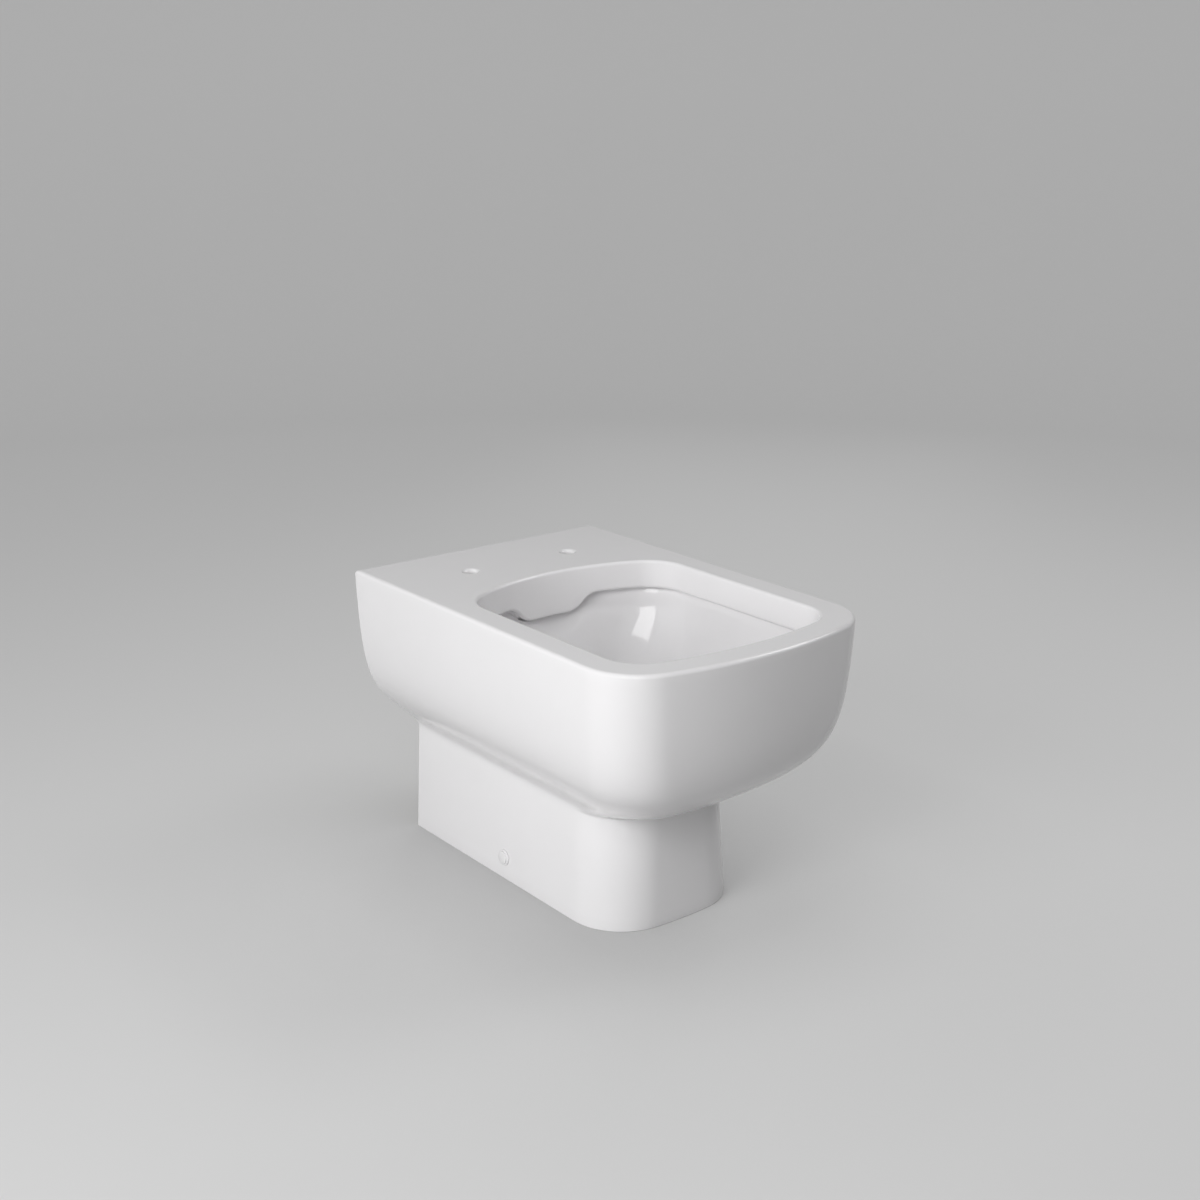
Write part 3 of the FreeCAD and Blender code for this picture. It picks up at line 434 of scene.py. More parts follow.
def add_prism(bm: bmesh.types.BMesh, outline: Row, along: Point) -> None:
    """Add a straight bar with a flat outline.

    Args:
        bm: mesh in millimetres that gets the bar.
        outline: corners of one end.
        along: step from that end to the other.
    """
    ends = [[bm.verts.new(Vector(point) + Vector(along) * end) for point in outline] for end in (0, 1)]
    for end in ends:
        bm.faces.new(end)
    for index, (near, far) in enumerate(zip(*ends)):
        bm.faces.new((ends[0][index - 1], near, far, ends[1][index - 1]))


def fill_flat(bm: bmesh.types.BMesh, axis: int, level: float, surface: int) -> None:
    """Fill the open loops that lie on one plane.

    Args:
        bm: mesh in millimetres.
        axis: 0, 1 or 2 for the plane's normal.
        level: place of the plane along it.
        surface: material index of the new faces.
    """
    rim = [edge for edge in bm.edges if len(edge.link_faces) < 2
           and all(abs(vert.co[axis] - level) < WELD for vert in edge.verts)]
    filled = bmesh.ops.triangle_fill(bm, use_beauty=True, edges=rim)
    for item in filled["geom"]:
        if isinstance(item, bmesh.types.BMFace):
            item.material_index = surface


def smooth(mesh: bpy.types.Mesh) -> None:
    """Shade a mesh smoothly, with its real corners kept sharp."""
    mesh.shade_smooth()
    mesh.set_sharp_from_angle(angle=SMOOTH_ANGLE)


def new_piece(name: str, bm: bmesh.types.BMesh, finishes: list[Finish]) -> bpy.types.Object:
    """Turn a mesh in millimetres into a piece at the origin, and free it.

    Args:
        name: name of the piece.
        bm: closed mesh in millimetres.
        finishes: finishes by the faces' material index.

    Returns:
        The new object.
    """
    bmesh.ops.remove_doubles(bm, verts=bm.verts, dist=WELD)
    bmesh.ops.recalc_face_normals(bm, faces=bm.faces)
    mesh = bpy.data.meshes.new(name)
    bm.to_mesh(mesh)
    bm.free()
    mesh.transform(Matrix.Scale(MM, 4))
    for finish in finishes:
        mesh.materials.append(finish.material())
    smooth(mesh)
    piece = bpy.data.objects.new(name, mesh)
    bpy.context.scene.collection.objects.link(piece)
    return piece


def turned_piece(name: str, profile: list[Flat], finish: Finish,
                 place: Matrix | None = None) -> bpy.types.Object:
    """Turn a closed piece about an axis.

    Args:
        name: name of the piece.
        profile: points of radius and height.
        finish: its one finish.
        place: frame of the axis in millimetres, the origin's if left out.

    Returns:
        The new object.
    """
    bm = bmesh.new()
    add_lathe(bm, profile, place or Matrix())
    return new_piece(name, bm, [finish])


def seat(piece: bpy.types.Object, place: Matrix) -> None:
    """Move a piece's mesh, with the object left at the origin.

    Args:
        piece: piece that was made at the origin.
        place: its frame in millimetres.
    """
    moved = place.copy()
    moved.translation *= MM
    piece.data.transform(moved)


def settle(piece: bpy.types.Object) -> None:
    """Turn a piece and its modifiers into one plain mesh.

    Args:
        piece: object whose modifiers are applied and removed.
    """
    result = piece.evaluated_get(bpy.context.evaluated_depsgraph_get())
    rough = piece.data
    piece.data = bpy.data.meshes.new_from_object(result)
    piece.modifiers.clear()
    bpy.data.meshes.remove(rough)
    piece.data.name = piece.name
    smooth(piece.data)


def carve(piece: bpy.types.Object, tool: bpy.types.Object, carving: Carving) -> None:
    """Join a tool to a piece, or cut it out, and delete the tool.

    Args:
        piece: object that keeps the result.
        tool: closed object.
        carving: which of the two.
    """
    modifier = piece.modifiers.new("carve", "BOOLEAN")
    modifier.operation = carving.value
    modifier.solver = "EXACT"
    modifier.object = tool
    settle(piece)
    bpy.data.objects.remove(tool)


def round_edges(piece: bpy.types.Object, width: float) -> None:
    """Take the sharpness off a piece's edges.

    Args:
        piece: object that keeps the result.
        width: how far the rounds reach, in millimetres.
    """
    modifier = piece.modifiers.new("soft_edges", "BEVEL")
    modifier.width = width * MM
    modifier.segments = 3
    modifier.limit_method = "ANGLE"
    modifier.angle_limit = SMOOTH_ANGLE
    settle(piece)


def new_tree(name: str, sizes: dict[str, str]) -> tuple[bpy.types.NodeTree, bpy.types.NodeOutputs]:
    """Start a Geometry Nodes tree that changes a piece.

    Args:
        name: name of the tree.
        sizes: kinds of the named inputs after the piece itself.

    Returns:
        The tree and the output sockets of its input node.
    """
    tree = bpy.data.node_groups.new(name, "GeometryNodeTree")
    for label, kind in {"Piece": "Geometry", **sizes, "Finish": "Material"}.items():
        tree.interface.new_socket(label, in_out="INPUT", socket_type=f"NodeSocket{kind}")
    tree.interface.new_socket("Result", in_out="OUTPUT", socket_type="NodeSocketGeometry")
    return tree, add_node(tree, "NodeGroupInput").outputs


def end_tree(tree: bpy.types.NodeTree, given: bpy.types.NodeOutputs, shape: bpy.types.NodeSocket) -> None:
    """Close a tree with plain geometry in the finish it was given.

    Args:
        tree: Geometry Nodes tree.
        given: output sockets of its input node.
        shape: geometry that it ends in.
    """
    real = add_node(tree, "GeometryNodeRealizeInstances", {}, {"Geometry": shape})
    painted = add_node(tree, "GeometryNodeSetMaterial", {}, {
        "Geometry": real.outputs[0], "Material": given["Finish"]})
    add_node(tree, "NodeGroupOutput", {}, {0: painted.outputs[0]})


@lru_cache(maxsize=None)
def pair_tree() -> bpy.types.NodeTree:
    """Tree that repeats a right-hand piece on the left, turned half round about an upright axis.

    Returns:
        The tree, made once.
    """
    tree, given = new_tree("left_and_right_pair", {"Axis": "Vector"})
    back = add_node(tree, "ShaderNodeVectorMath", {"operation": "SCALE"}, {0: given["Axis"], "Scale": -1.0})
    centred = add_node(tree, "GeometryNodeTransform", {}, {
        "Geometry": given["Piece"], "Translation": back.outputs[0]})
    posts = add_node(tree, "GeometryNodeMeshLine", {}, {
        "Count": len(Side), "Start Location": given["Axis"], "Offset": (0, 0, 0)})
    half_turns = add_node(tree, "ShaderNodeMath", {"operation": "MULTIPLY"}, {
        0: add_node(tree, "GeometryNodeInputIndex").outputs[0], 1: math.pi})
    turn = add_node(tree, "ShaderNodeCombineXYZ", {}, {"Z": half_turns.outputs[0]})
    facing = add_node(tree, "FunctionNodeEulerToRotation", {}, {0: turn.outputs[0]})
    pair = add_node(tree, "GeometryNodeInstanceOnPoints", {}, {
        "Points": posts.outputs[0], "Instance": centred.outputs[0], "Rotation": facing.outputs[0]})
    end_tree(tree, given, pair.outputs[0])
    return tree


@lru_cache(maxsize=None)
def thread_tree() -> bpy.types.NodeTree:
    """Tree that winds the ridge of a screw thread round a core along its Z axis.

    Returns:
        The tree, made once.
    """
    tree, given = new_tree("screw_thread", {
        "Core": "Float", "Ridge": "Float", "Turns": "Float", "Rise": "Float", "Start": "Vector"})
    helix = add_node(tree, "GeometryNodeCurveSpiral", {}, {
        "Resolution": 24, "Rotations": given["Turns"], "Start Radius": given["Core"],
        "End Radius": given["Core"], "Height": given["Rise"]})
    placed = add_node(tree, "GeometryNodeTransform", {}, {
        "Geometry": helix.outputs[0], "Translation": given["Start"]})
    section = add_node(tree, "GeometryNodeCurvePrimitiveCircle", {}, {
        "Resolution": 4, "Radius": given["Ridge"]})
    ridge = add_node(tree, "GeometryNodeCurveToMesh", {}, {
        "Curve": placed.outputs[0], "Profile Curve": section.outputs[0], "Fill Caps": True})
    joined = add_node(tree, "GeometryNodeJoinGeometry", {}, {0: [given["Piece"], ridge.outputs[0]]})
    end_tree(tree, given, joined.outputs[0])
    return tree


def grow(piece: bpy.types.Object, tree: bpy.types.NodeTree, sizes: dict[str, object]) -> None:
    """Run a tree on a piece, and keep the result as its plain mesh.

    Args:
        piece: object that the tree changes.
        tree: Geometry Nodes tree.
        sizes: values of its named inputs.
    """
    modifier = piece.modifiers.new(tree.name, "NODES")
    modifier.node_group = tree
    for socket in tree.interface.items_tree:
        if socket.name in sizes:
            modifier[socket.identifier] = sizes[socket.name]
    settle(piece)


def enlist(piece: bpy.types.Object, body: str, slot: str, *nodes: str) -> bpy.types.Object:
    """Let a finished piece stand for nodes of the frame.

    Args:
        piece: finished piece.
        body: body that it moves with.
        slot: not used.
        nodes: nodes that it replaces.

    Returns:
        The piece.
    """
    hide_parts(*nodes)
    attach(piece, body)
    return piece


@dataclass(frozen=True)
class Casting:
    """The pan: one china casting of rim, bowl, trapway, rear deck and foot, in millimetres."""

    wall: float
    top: float
    width: float
    depth: float
    corner: float = 75
    bow: float = 560
    knee_height: float = 205
    side_slope: float = 1.59
    side_blend: float = 40.4
    front_slope: float = 1.98
    front_blend: float = 46.7
    crease_round: float = 5
    side_fill: float = 50
    side_fill_inset: float = 6
    front_flat_height: float = 170
    front_flatten: float = 0.025
    # Heights at which the pitch of the rows changes: crease and shoulder of the skin, and knee of the hollow.
    crease_low: float = 120
    crease_high: float = 175
    shoulder_height: float = 270
    hollow_knee: float = 98
    rim_round: float = 5
    foot_width: float = 221
    foot_depth: float = 429
    foot_draft: float = math.radians(2.8)
    foot_round: float = 1.2
    skin_wall: float = 11
    skin_lift: float = 6
    deck_thickness: float = 16
    bowl_wall: float = 10
    rim_width: float = 38.5
    deck_depth: float = 163
    opening_front_corner: float = 50
    opening_rear_corner: float = 57
    opening_rear_bow: float = 300
    opening_round: float = 4
    band_height: float = 38
    band_edge: float = 5
    band_undercut: float = 7
    shelf_round: float = 2.5
    throat_clearance: float = 2
    throat_ease: float = 2
    bowl_roundness: float = 45
    bowl_pitch: float = 7
    apron_drop: float = 60
    apron_flat: float = 52
    apron_spread: float = 144
    apron_rise: float = 23.5
    outlet_slot: float = 2.5
    slot_depth: float = 9
    slot_fade: float = 1.5
    channel_depth: float = 9
    side_channel_depth: float = 2
    channel_fade: float = 33
    channel_start: float = -10
    channel_ramp: float = 100
    # How far below the band the bowl's face has rows, close together where the slot ends.
    channel_rows: tuple[float, ...] = (3.1, 3.6, 4.1, 5, 7, 10, 14, 18, 23, 29, 36)
    chamber_width: float = 152
    chamber_back: float = 120
    chamber_floor_drop: float = 87
    chamber_floor_zone: float = 10
    chamber_floor_blend: float = 16
    chamber_side_blend: float = 12
    trap_bore: float = 72
    trap_wall: float = 9
    trap_bend: float = 55
    trap_low: float = 58
    # How far below the throat the trapway's first two rings lie.
    trap_collar: Flat = (4, 10)
    trap_step: float = math.radians(7)
    throat_run: float = 20
    trap_rise: float = math.radians(50)
    outlet_height: float = 180
    outlet_setback: float = 45
    outlet_diameter: float = 102
    outlet_length: float = 45
    outlet_round: float = 1.5
    inlet_drop: float = 58
    inlet_setback: float = 30
    inlet_bore: float = 55
    inlet_bore_depth: float = 32
    inlet_passage: float = 36
    inlet_wall: float = 9
    inlet_round: float = 2
    seat_hole: float = 17
    seat_hole_spacing: float = 155
    seat_hole_setback: float = 95.5
    seat_hole_lip: float = 4.5
    fixing_setback: float = 205.5
    fixing_height: float = 29.5
    fixing_hole: float = 16
    # Narrow flat beside a rounded edge, which keeps the shading of the wide face even.
    holding_edge: float = 1

    @property
    def shelf(self) -> float:
        """Height of the shelf under the rim band."""
        return self.top - self.band_height

    @property
    def deck_underside(self) -> float:
        """Height of the deck's underside."""
        return self.top - self.deck_thickness

    @property
    def throat_height(self) -> float:
        """Height at which the bowl opens into the trapway."""
        return self.trap_low + self.trap_bend + self.throat_run

    @property
    def throat_setback(self) -> float:
        """Distance of the throat's middle from the wall."""
        return self.outlet_setback + self.outlet_length + self.trap_run + self.trap_bend

    @property
    def trap_run(self) -> float:
        """Level distance between the trapway's two bends.

        Returns:
            The distance between the bends' centres.
        """
        bends = 2 * self.trap_bend
        rise = self.outlet_height - self.trap_low - bends * (1 - math.cos(self.trap_rise))
        return bends * math.sin(self.trap_rise) + rise / math.tan(self.trap_rise)

    @property
    def fixing_wall(self) -> float:
        """China between the foot's outer and inner face, along a fixing's axis."""
        return (self.skin_wall - self.skin_lift * math.tan(self.foot_draft)) * math.cos(self.foot_draft)

    @property
    def fixing_axis(self) -> Point:
        """Point of the upright axis about which the left fixing is the right one turned half round."""
        return 0, self.wall - self.fixing_setback, 0

    @property
    def inlet_place(self) -> Matrix:
        """Frame at the inlet horn's mouth, with +Z towards the wall."""
        mouth = (0, self.wall - self.inlet_setback, self.top - self.inlet_drop)
        return Matrix.Translation(mouth) @ Matrix.Rotation(-QUARTER, 4, "X")

    def fixing_place(self, side: Side) -> Matrix:
        """Frame on the foot's side, with +Z straight out of the china.

        Args:
            side: which side of the foot.

        Returns:
            The frame in millimetres.
        """
        turn = Matrix.Rotation(0 if side is Side.RIGHT else 2 * QUARTER, 4, "Z")
        across = self.foot_at(self.foot_width / 2, self.fixing_height)
        out = Matrix.Translation((across, 0, self.fixing_height))
        tilt = Matrix.Rotation(QUARTER - self.foot_draft, 4, "Y")
        return Matrix.Translation(self.fixing_axis) @ turn @ out @ tilt

    def foot_at(self, reach: float, height: float) -> float:
        """Reach of the tapered foot at a height, from its reach on the floor."""
        return reach - height * math.tan(self.foot_draft)

    def bowl_at(self, reach: float, height: float, slope: float, blend: float) -> float:
        """Reach of the rounded bowl at a height.

        Args:
            reach: its reach at the top.
            height: height whose reach is asked.
            slope: slope of the underside.
            blend: how softly the underside turns up.

        Returns:
            The reach, with no regard to the foot.
        """
        at_top = knee(self.top - self.knee_height, slope, blend)
        return reach + knee(height - self.knee_height, slope, blend) - at_top

    def half_width(self, height: float) -> float:
        """Half of the outside's width.

        Args:
            height: height at which it is taken.

        Returns:
            The distance from the middle plane.
        """
        foot = self.foot_at(self.foot_width / 2, height)
        bowl = self.bowl_at(self.width / 2, height, self.side_slope, self.side_blend)
        filled = soft_max(foot - self.side_fill_inset, bowl, self.side_fill)
        return soft_max(foot, filled, self.crease_round)

    def front_reach(self, height: float) -> float:
        """Distance from the wall to the middle of the front.

        Args:
            height: height at which it is taken.

        Returns:
            The distance, with the bowl's underside flattened towards the foot.
        """
        foot = self.foot_at(self.foot_depth, height)
        bowl = self.bowl_at(self.depth, height, self.front_slope, self.front_blend)
        flat = max(self.front_flat_height - height, 0)
        return soft_max(foot, bowl - self.front_flatten * flat ** 2, self.crease_round)

    def skin_outline(self, height: float, inset: float, back_inset: float = 0) -> list[Flat]:
        """Level outline of the outside, from the wall on the left round the front to the wall on the right.

        Args:
            height: height whose profile is taken.
            inset: how far inside the skin the outline runs.
            back_inset: how far in front of the wall its ends stop.

        Returns:
            Points across and along.
        """
        half = self.half_width(height) - inset
        front = self.front_reach(height) - inset
        corner = self.corner - inset
        bow = self.bow - inset
        back = self.wall - back_inset
        across, along, angle = bowed_end(half, front, corner, bow)
        corner_y = self.wall - along
        right = [(half, y) for y in spaced(back, corner_y, (back - corner_y) / SKIN_COLUMNS[0])]
        right += arc((across, corner_y), corner, 0, -angle, SKIN_COLUMNS[1])
        right += arc((0, self.wall - front + bow), bow, -angle, -QUARTER, SKIN_COLUMNS[2])
        return [(-x, y) for x, y in right] + right[-2::-1]

    def ring(self, half: float, front: float, rear: float, corners: Flat, bows: Flat) -> list[Flat]:
        """Closed level ring of the opening or the bowl, from the middle of its rear towards +X and round.

        Args:
            half: half of the width.
            front: distance of the front's middle from the wall.
            rear: distance of the rear's middle from the wall.
            corners: radii of the front and rear corners.
            bows: radii of the front and rear bows.

        Returns:
            Points across and along.
        """
        front_across, front_along, front_angle = bowed_end(half, front, corners[0], bows[0])
        rear_across, rear_along, rear_angle = bowed_end(half, -rear, corners[1], bows[1])
        front_y = self.wall - front_along
        rear_y = self.wall + rear_along
        right = [(0.0, self.wall - rear)]
        right += arc((0, self.wall - rear - bows[1]), bows[1], QUARTER, rear_angle, RING_COLUMNS[0])
        right += arc((rear_across, rear_y), corners[1], rear_angle, 0, RING_COLUMNS[1])
        right += [(half, y) for y in spaced(rear_y, front_y, (rear_y - front_y) / RING_COLUMNS[2])[1:]]
        right += arc((front_across, front_y), corners[0], 0, -front_angle, RING_COLUMNS[3])
        right += arc((0, self.wall - front + bows[0]), bows[0], -front_angle, -QUARTER, RING_COLUMNS[4])
        return right + [(-x, y) for x, y in right[-2:0:-1]]

    @lru_cache(maxsize=None)
    def opening_ring(self, offset: float) -> list[Flat]:
        """Outline of the opening in the rim, grown by an offset."""
        return self.ring(self.width / 2 - self.rim_width + offset, self.depth - self.rim_width + offset,
                         self.deck_depth - offset,
                         (self.opening_front_corner + offset, self.opening_rear_corner + offset),
                         (self.bow - self.rim_width + offset, self.opening_rear_bow + offset))

    @lru_cache(maxsize=None)
    def bowl_ring(self, height: float, outset: float, base: float = 0) -> list[Flat]:
        """Outline of the bowl at a height.

        Args:
            height: height of the outline, level with the shelf's outline above the shelf.
            outset: how far outside the bowl's face it runs.
            base: how far below the throat the lowest outline lies.

        Returns:
            Points across and along.
        """
        floor = self.throat_height - base
        level = min(max((height - floor) / (self.shelf - floor), 0), 1)
        spread = math.sin(QUARTER * level)
        throat = self.trap_bore / 2 + self.throat_clearance
        inset = self.rim_width - self.band_undercut
        half = between(throat, self.width / 2 - inset, spread)
        front = between(self.throat_setback + throat, self.depth - inset, spread)
        rear = between(self.throat_setback - throat, self.deck_depth - self.band_undercut, spread)
        swell = self.bowl_roundness * math.sin(math.pi * level)
        widest = half - self.throat_clearance
        shelf_corners = (self.opening_front_corner + self.band_undercut, self.opening_rear_corner)
        corners = [min(between(self.trap_bore / 2, corner, spread) + swell, widest) + outset
                   for corner in shelf_corners]
        bows = (self.bow - self.rim_width + outset, self.opening_rear_bow + outset)
        return self.ring(half + outset, front + outset, rear - outset, tuple(corners), bows)

    def apron_share(self, x: float, y: float) -> float:
        """How far the band hangs down as an apron behind the bowl.

        Args:
            x: place across.
            y: place along.

        Returns:
            1 at the rear's middle, 0 beside the apron and in front, with an even double curve between.
        """
        if y < 0:
            return 0
        run = (self.apron_spread - self.apron_flat) / 4
        lift = self.apron_rise / 2
        radius = (run ** 2 + lift ** 2) / (2 * lift)
        past = min(max(abs(x) - self.apron_flat / 2, 0), 2 * run)
        swing = min(past, 2 * run - past)
        turned = (radius - math.sqrt(radius ** 2 - swing ** 2)) / self.apron_rise
        return 1 - turned if past < run else turned

    def band_lows(self) -> list[float]:
        """Height of the band's lower edge, column by column."""
        hang = self.apron_drop - self.band_height
        return [self.shelf - hang * self.apron_share(x, y) for x, y in self.opening_ring(0)]

    def band_rows(self) -> list[Row]:
        """Rounded edge of the opening, the rim band and its lower edge.

        Returns:
            Rows from the top down.
        """
        rows = [at_height(self.opening_ring(self.opening_round + self.holding_edge), self.top)]
        for out, drop in quarter_round(self.opening_round, WIDE_STEPS):
            rows.append(at_height(self.opening_ring(out), self.top - drop))
        lows = self.band_lows()
        start = self.top - self.opening_round
        for share in BAND_SHARES:
            rows.append([(x, y, between(start, low + self.band_edge, share))
                         for (x, y), low in zip(self.opening_ring(0), lows)])
        for rise, out in quarter_round(self.band_edge, WIDE_STEPS)[1:]:
            rows.append([(x, y, low + rise) for (x, y), low in zip(self.opening_ring(out), lows)])
        return rows

    def channel_at(self, y: float) -> float:
        """Depth of the flush channel under the band: full behind the bowl, shallow along its sides."""
        deepened = ease((y - self.channel_start) / self.channel_ramp)
        return between(self.side_channel_depth, self.channel_depth, deepened)

    def wall_point(self, column: int, height: float, fall: float) -> Flat:
        """Point of the bowl's face, set back where the flush channel and the apron's slot run under the band.

        Args:
            column: place round the ring.
            height: height of the point.
            fall: how far the point lies below the band.

        Returns:
            The point across and along.
        """
        x, y = self.opening_ring(0)[column]
        # The slot opens only where the apron hangs by more than two thirds.
        hidden = ease(self.apron_share(x, y) * 3 - 2)
        slot = self.slot_depth * hidden * (1 - ease((fall - self.outlet_slot) / self.slot_fade))
        channel = self.channel_at(y) * (1 - ease(fall / self.channel_fade))
        return self.bowl_ring(height, round(slot + channel, 3))[column]

    def bowl_rows(self) -> list[Row]:
        """Shelf under the band and the face of the bowl.

        Returns:
            Rows from the band's lower edge down to the throat.
        """
        lows = self.band_lows()
        edge = self.opening_ring(self.band_edge)
        roots = [self.wall_point(column, low - self.shelf_round, self.shelf_round)
                 for column, low in enumerate(lows)]
        shelf_width = self.band_undercut + self.side_channel_depth - self.band_edge
        flat = 1 - self.shelf_round / shelf_width
        shelf = [(flat / 2, 0), (flat, 0)]
        shelf += [(1 - inset / shelf_width, fall)
                  for inset, fall in quarter_round(self.shelf_round, NARROW_STEPS)[1:]]
        rows = [[(between(x, root_x, share), between(y, root_y, share), low - fall)
                 for (x, y), (root_x, root_y), low in zip(edge, roots, lows)] for share, fall in shelf]
        for fall in self.channel_rows:
            rows.append([(*self.wall_point(column, low - fall, fall), low - fall)
                         for column, low in enumerate(lows)])
        level = self.shelf - 2 * self.band_height
        for share in (0.25, 0.5, 0.75, 1):
            heights = [round(between(low - self.channel_rows[-1], level, share), 3) for low in lows]
            rows.append([(*self.bowl_ring(height, 0)[column], height)
                         for column, height in enumerate(heights)])
        for height in spaced(level, self.throat_height + self.throat_ease, self.bowl_pitch)[1:]:
            rows.append(at_height(self.bowl_ring(height, 0), height))
        return rows

    def trap_path(self) -> list[tuple[Vector, Vector]]:
        """Middle line of the trapway from the throat to the outlet.

        Returns:
            Points in order, each with the direction there.
        """
        throat_y = self.wall - self.throat_setback
        end_y = self.wall - self.outlet_setback
        low = Vector((0, throat_y + self.trap_bend, self.trap_low + self.trap_bend))
        high = Vector((0, end_y - self.outlet_length, self.outlet_height - self.trap_bend))
        path = [(Vector((0, throat_y, self.throat_height - fall)), Vector((0, 0, -1)))
                for fall in self.trap_collar]
        bends = [(low, 1, spaced(math.pi, math.pi + QUARTER + self.trap_rise, self.trap_step)),
                 (high, -1, spaced(QUARTER + self.trap_rise, QUARTER, self.trap_step))]
        for centre, turn, angles in bends:
            for angle in angles:
                spoke = Vector((0, math.cos(angle), math.sin(angle)))
                path.append((centre + self.trap_bend * spoke, turn * Vector((0, -spoke.z, spoke.y))))
        path.append((Vector((0, end_y - self.outlet_round, self.outlet_height)), Vector((0, 1, 0))))
        return path

    def tube_row(self, middle: Vector, along: Vector, radius: float) -> Row:
        """Ring of a tube, with its points in line with the bowl's columns.

        Args:
            middle: point of the tube's middle line.
            along: direction of the line there, square to the ring.
            radius: radius of the ring.

        Returns:
            Points of the ring.
        """
        throat_y = self.wall - self.throat_setback
        lift = Vector((0, -along.z, along.y))
        row = []
        for x, y in self.bowl_ring(self.throat_height, 0):
            spoke = Vector((x, y - throat_y)).normalized()
            row.append(tuple(middle + radius * (spoke.x * Vector((1, 0, 0)) + spoke.y * lift)))
        return row

    def outlet_row(self, back: float, radius: float) -> Row:
        """Ring of the outlet spigot, some way in from its end."""
        end = self.wall - self.outlet_setback - back
        return self.tube_row(Vector((0, end, self.outlet_height)), Vector((0, 1, 0)), radius)

    def spigot_rows(self) -> tuple[list[Row], list[Row]]:
        """Outlet spigot with a rounded end, up to the step where it meets the trapway.

        Returns:
            Rows of the rounded mouth, and rows of the outside from the mouth's last row on.
        """
        bore = self.trap_bore / 2
        outer = self.outlet_diameter / 2
        soft = self.outlet_round
        edge = quarter_round(soft, SPIGOT_STEPS)
        mouth = [self.outlet_row(back, bore + out) for back, out in edge]
        outside = mouth[-1:] + [self.outlet_row(back, outer - inset) for inset, back in edge]
        backs = spaced(soft, self.outlet_length - soft, SPIGOT_PITCH)
        outside += [self.outlet_row(back, outer) for back in backs[1:]]
        outside += [self.outlet_row(self.outlet_length, radius)
                    for radius in (outer - soft, bore + self.trap_wall)]
        return mouth[1:], outside

    def shell_rows(self) -> list[Row]:
        """Outside of the bowl in the casting's hollow, with the flush chamber's bulge at the rear.

        Returns:
            Rows from below the throat up to the deck.
        """
        base = self.bowl_wall
        floor = self.top - self.chamber_floor_drop
        stops = [self.throat_height - base, floor - self.chamber_floor_zone, floor + self.chamber_floor_zone,
                 self.deck_underside]
        rows = []
        for height in graded(stops, SHELL_PITCHES):
            rise = ease((height - floor) / self.chamber_floor_blend + 0.5)
            backing = ease((height - self.shelf) / self.channel_fade + 2)
            row = []
            for column, (_, opening_y) in enumerate(self.opening_ring(0)):
                channel = round(self.channel_at(opening_y) * backing, 1)
                x, y = self.bowl_ring(height, base + channel, base)[column]
                side = ease((self.chamber_width / 2 - abs(x)) / self.chamber_side_blend + 0.5) if y > 0 else 0
                row.append((x, between(y, self.wall - self.chamber_back, rise * side), height))
            rows.append(row)
        return rows

    def add_waterway(self, bm: bmesh.types.BMesh) -> None:
        """Add the opening, bowl and trapway, and the outsides of the trapway and the bowl.

        Args:
            bm: mesh in millimetres that gets them.
        """
        path = self.trap_path()
        bore = [self.tube_row(middle, along, self.trap_bore / 2) for middle, along in path]
        mouth, spigot = self.spigot_rows()
        add_grid(bm, self.band_rows() + self.bowl_rows() + bore + mouth, True, Surface.GLAZE)
        radius = self.trap_bore / 2 + self.trap_wall
        tube = [self.tube_row(middle, along, radius) for middle, along in path[-3:0:-1]]
        add_grid(bm, spigot + tube + self.shell_rows(), True, Surface.BISCUIT)

    def rim_row(self, inset: float, height: float) -> Row:
        """Closed ring round the top, along the skin and the back edge.

        Args:
            inset: how far inside the outline it runs.
            height: its height.

        Returns:
            Points of the ring.
        """
        outline = self.skin_outline(self.top - self.rim_round, inset, inset)
        end_x, end_y = outline[-1]
        back = [(x, end_y) for x in spaced(end_x, -end_x, 2 * end_x / BACK_COLUMNS)[1:-1]]
        return at_height(outline + back, height)

    def add_outside(self, bm: bmesh.types.BMesh) -> None:
        """Add the foot and the skin, with the foot's lower edge rounded, and the rounded rim.

        Args:
            bm: mesh in millimetres that gets them.
        """
        rows = [at_height(self.skin_outline(height, inset), height)
                for inset, height in quarter_round(self.foot_round, NARROW_STEPS)[:-1]]
        stops = [self.foot_round, self.crease_low, self.crease_high, self.shoulder_height,
                 self.top - self.rim_round]
        rows += [at_height(self.skin_outline(height, 0), height) for height in graded(stops, SKIN_PITCHES)]
        add_grid(bm, rows, False, Surface.GLAZE)
        rim = [self.rim_row(inset, self.top - drop)
               for drop, inset in quarter_round(self.rim_round, WIDE_STEPS)]
        rim.append(self.rim_row(self.rim_round + self.holding_edge, self.top))
        add_grid(bm, rim, True, Surface.GLAZE)

    def add_hollow(self, bm: bmesh.types.BMesh) -> None:
        """Add the inside of the skin, the ring on which the foot stands and the deck's rear lower edge.

        Args:
            bm: mesh in millimetres that gets them.
        """
        stops = [0, self.hollow_knee, self.shoulder_height, self.deck_underside]
        rows = [at_height(self.skin_outline(height - self.skin_lift, self.skin_wall), height)
                for height in graded(stops, HOLLOW_PITCHES)]
        sole = at_height(self.skin_outline(0, self.foot_round), 0)
        add_grid(bm, rows, False, Surface.BISCUIT)
        add_grid(bm, [sole, rows[0]], False, Surface.BISCUIT)
        bm.edges.new([bm.verts.new(rows[-1][end]) for end in (0, -1)])

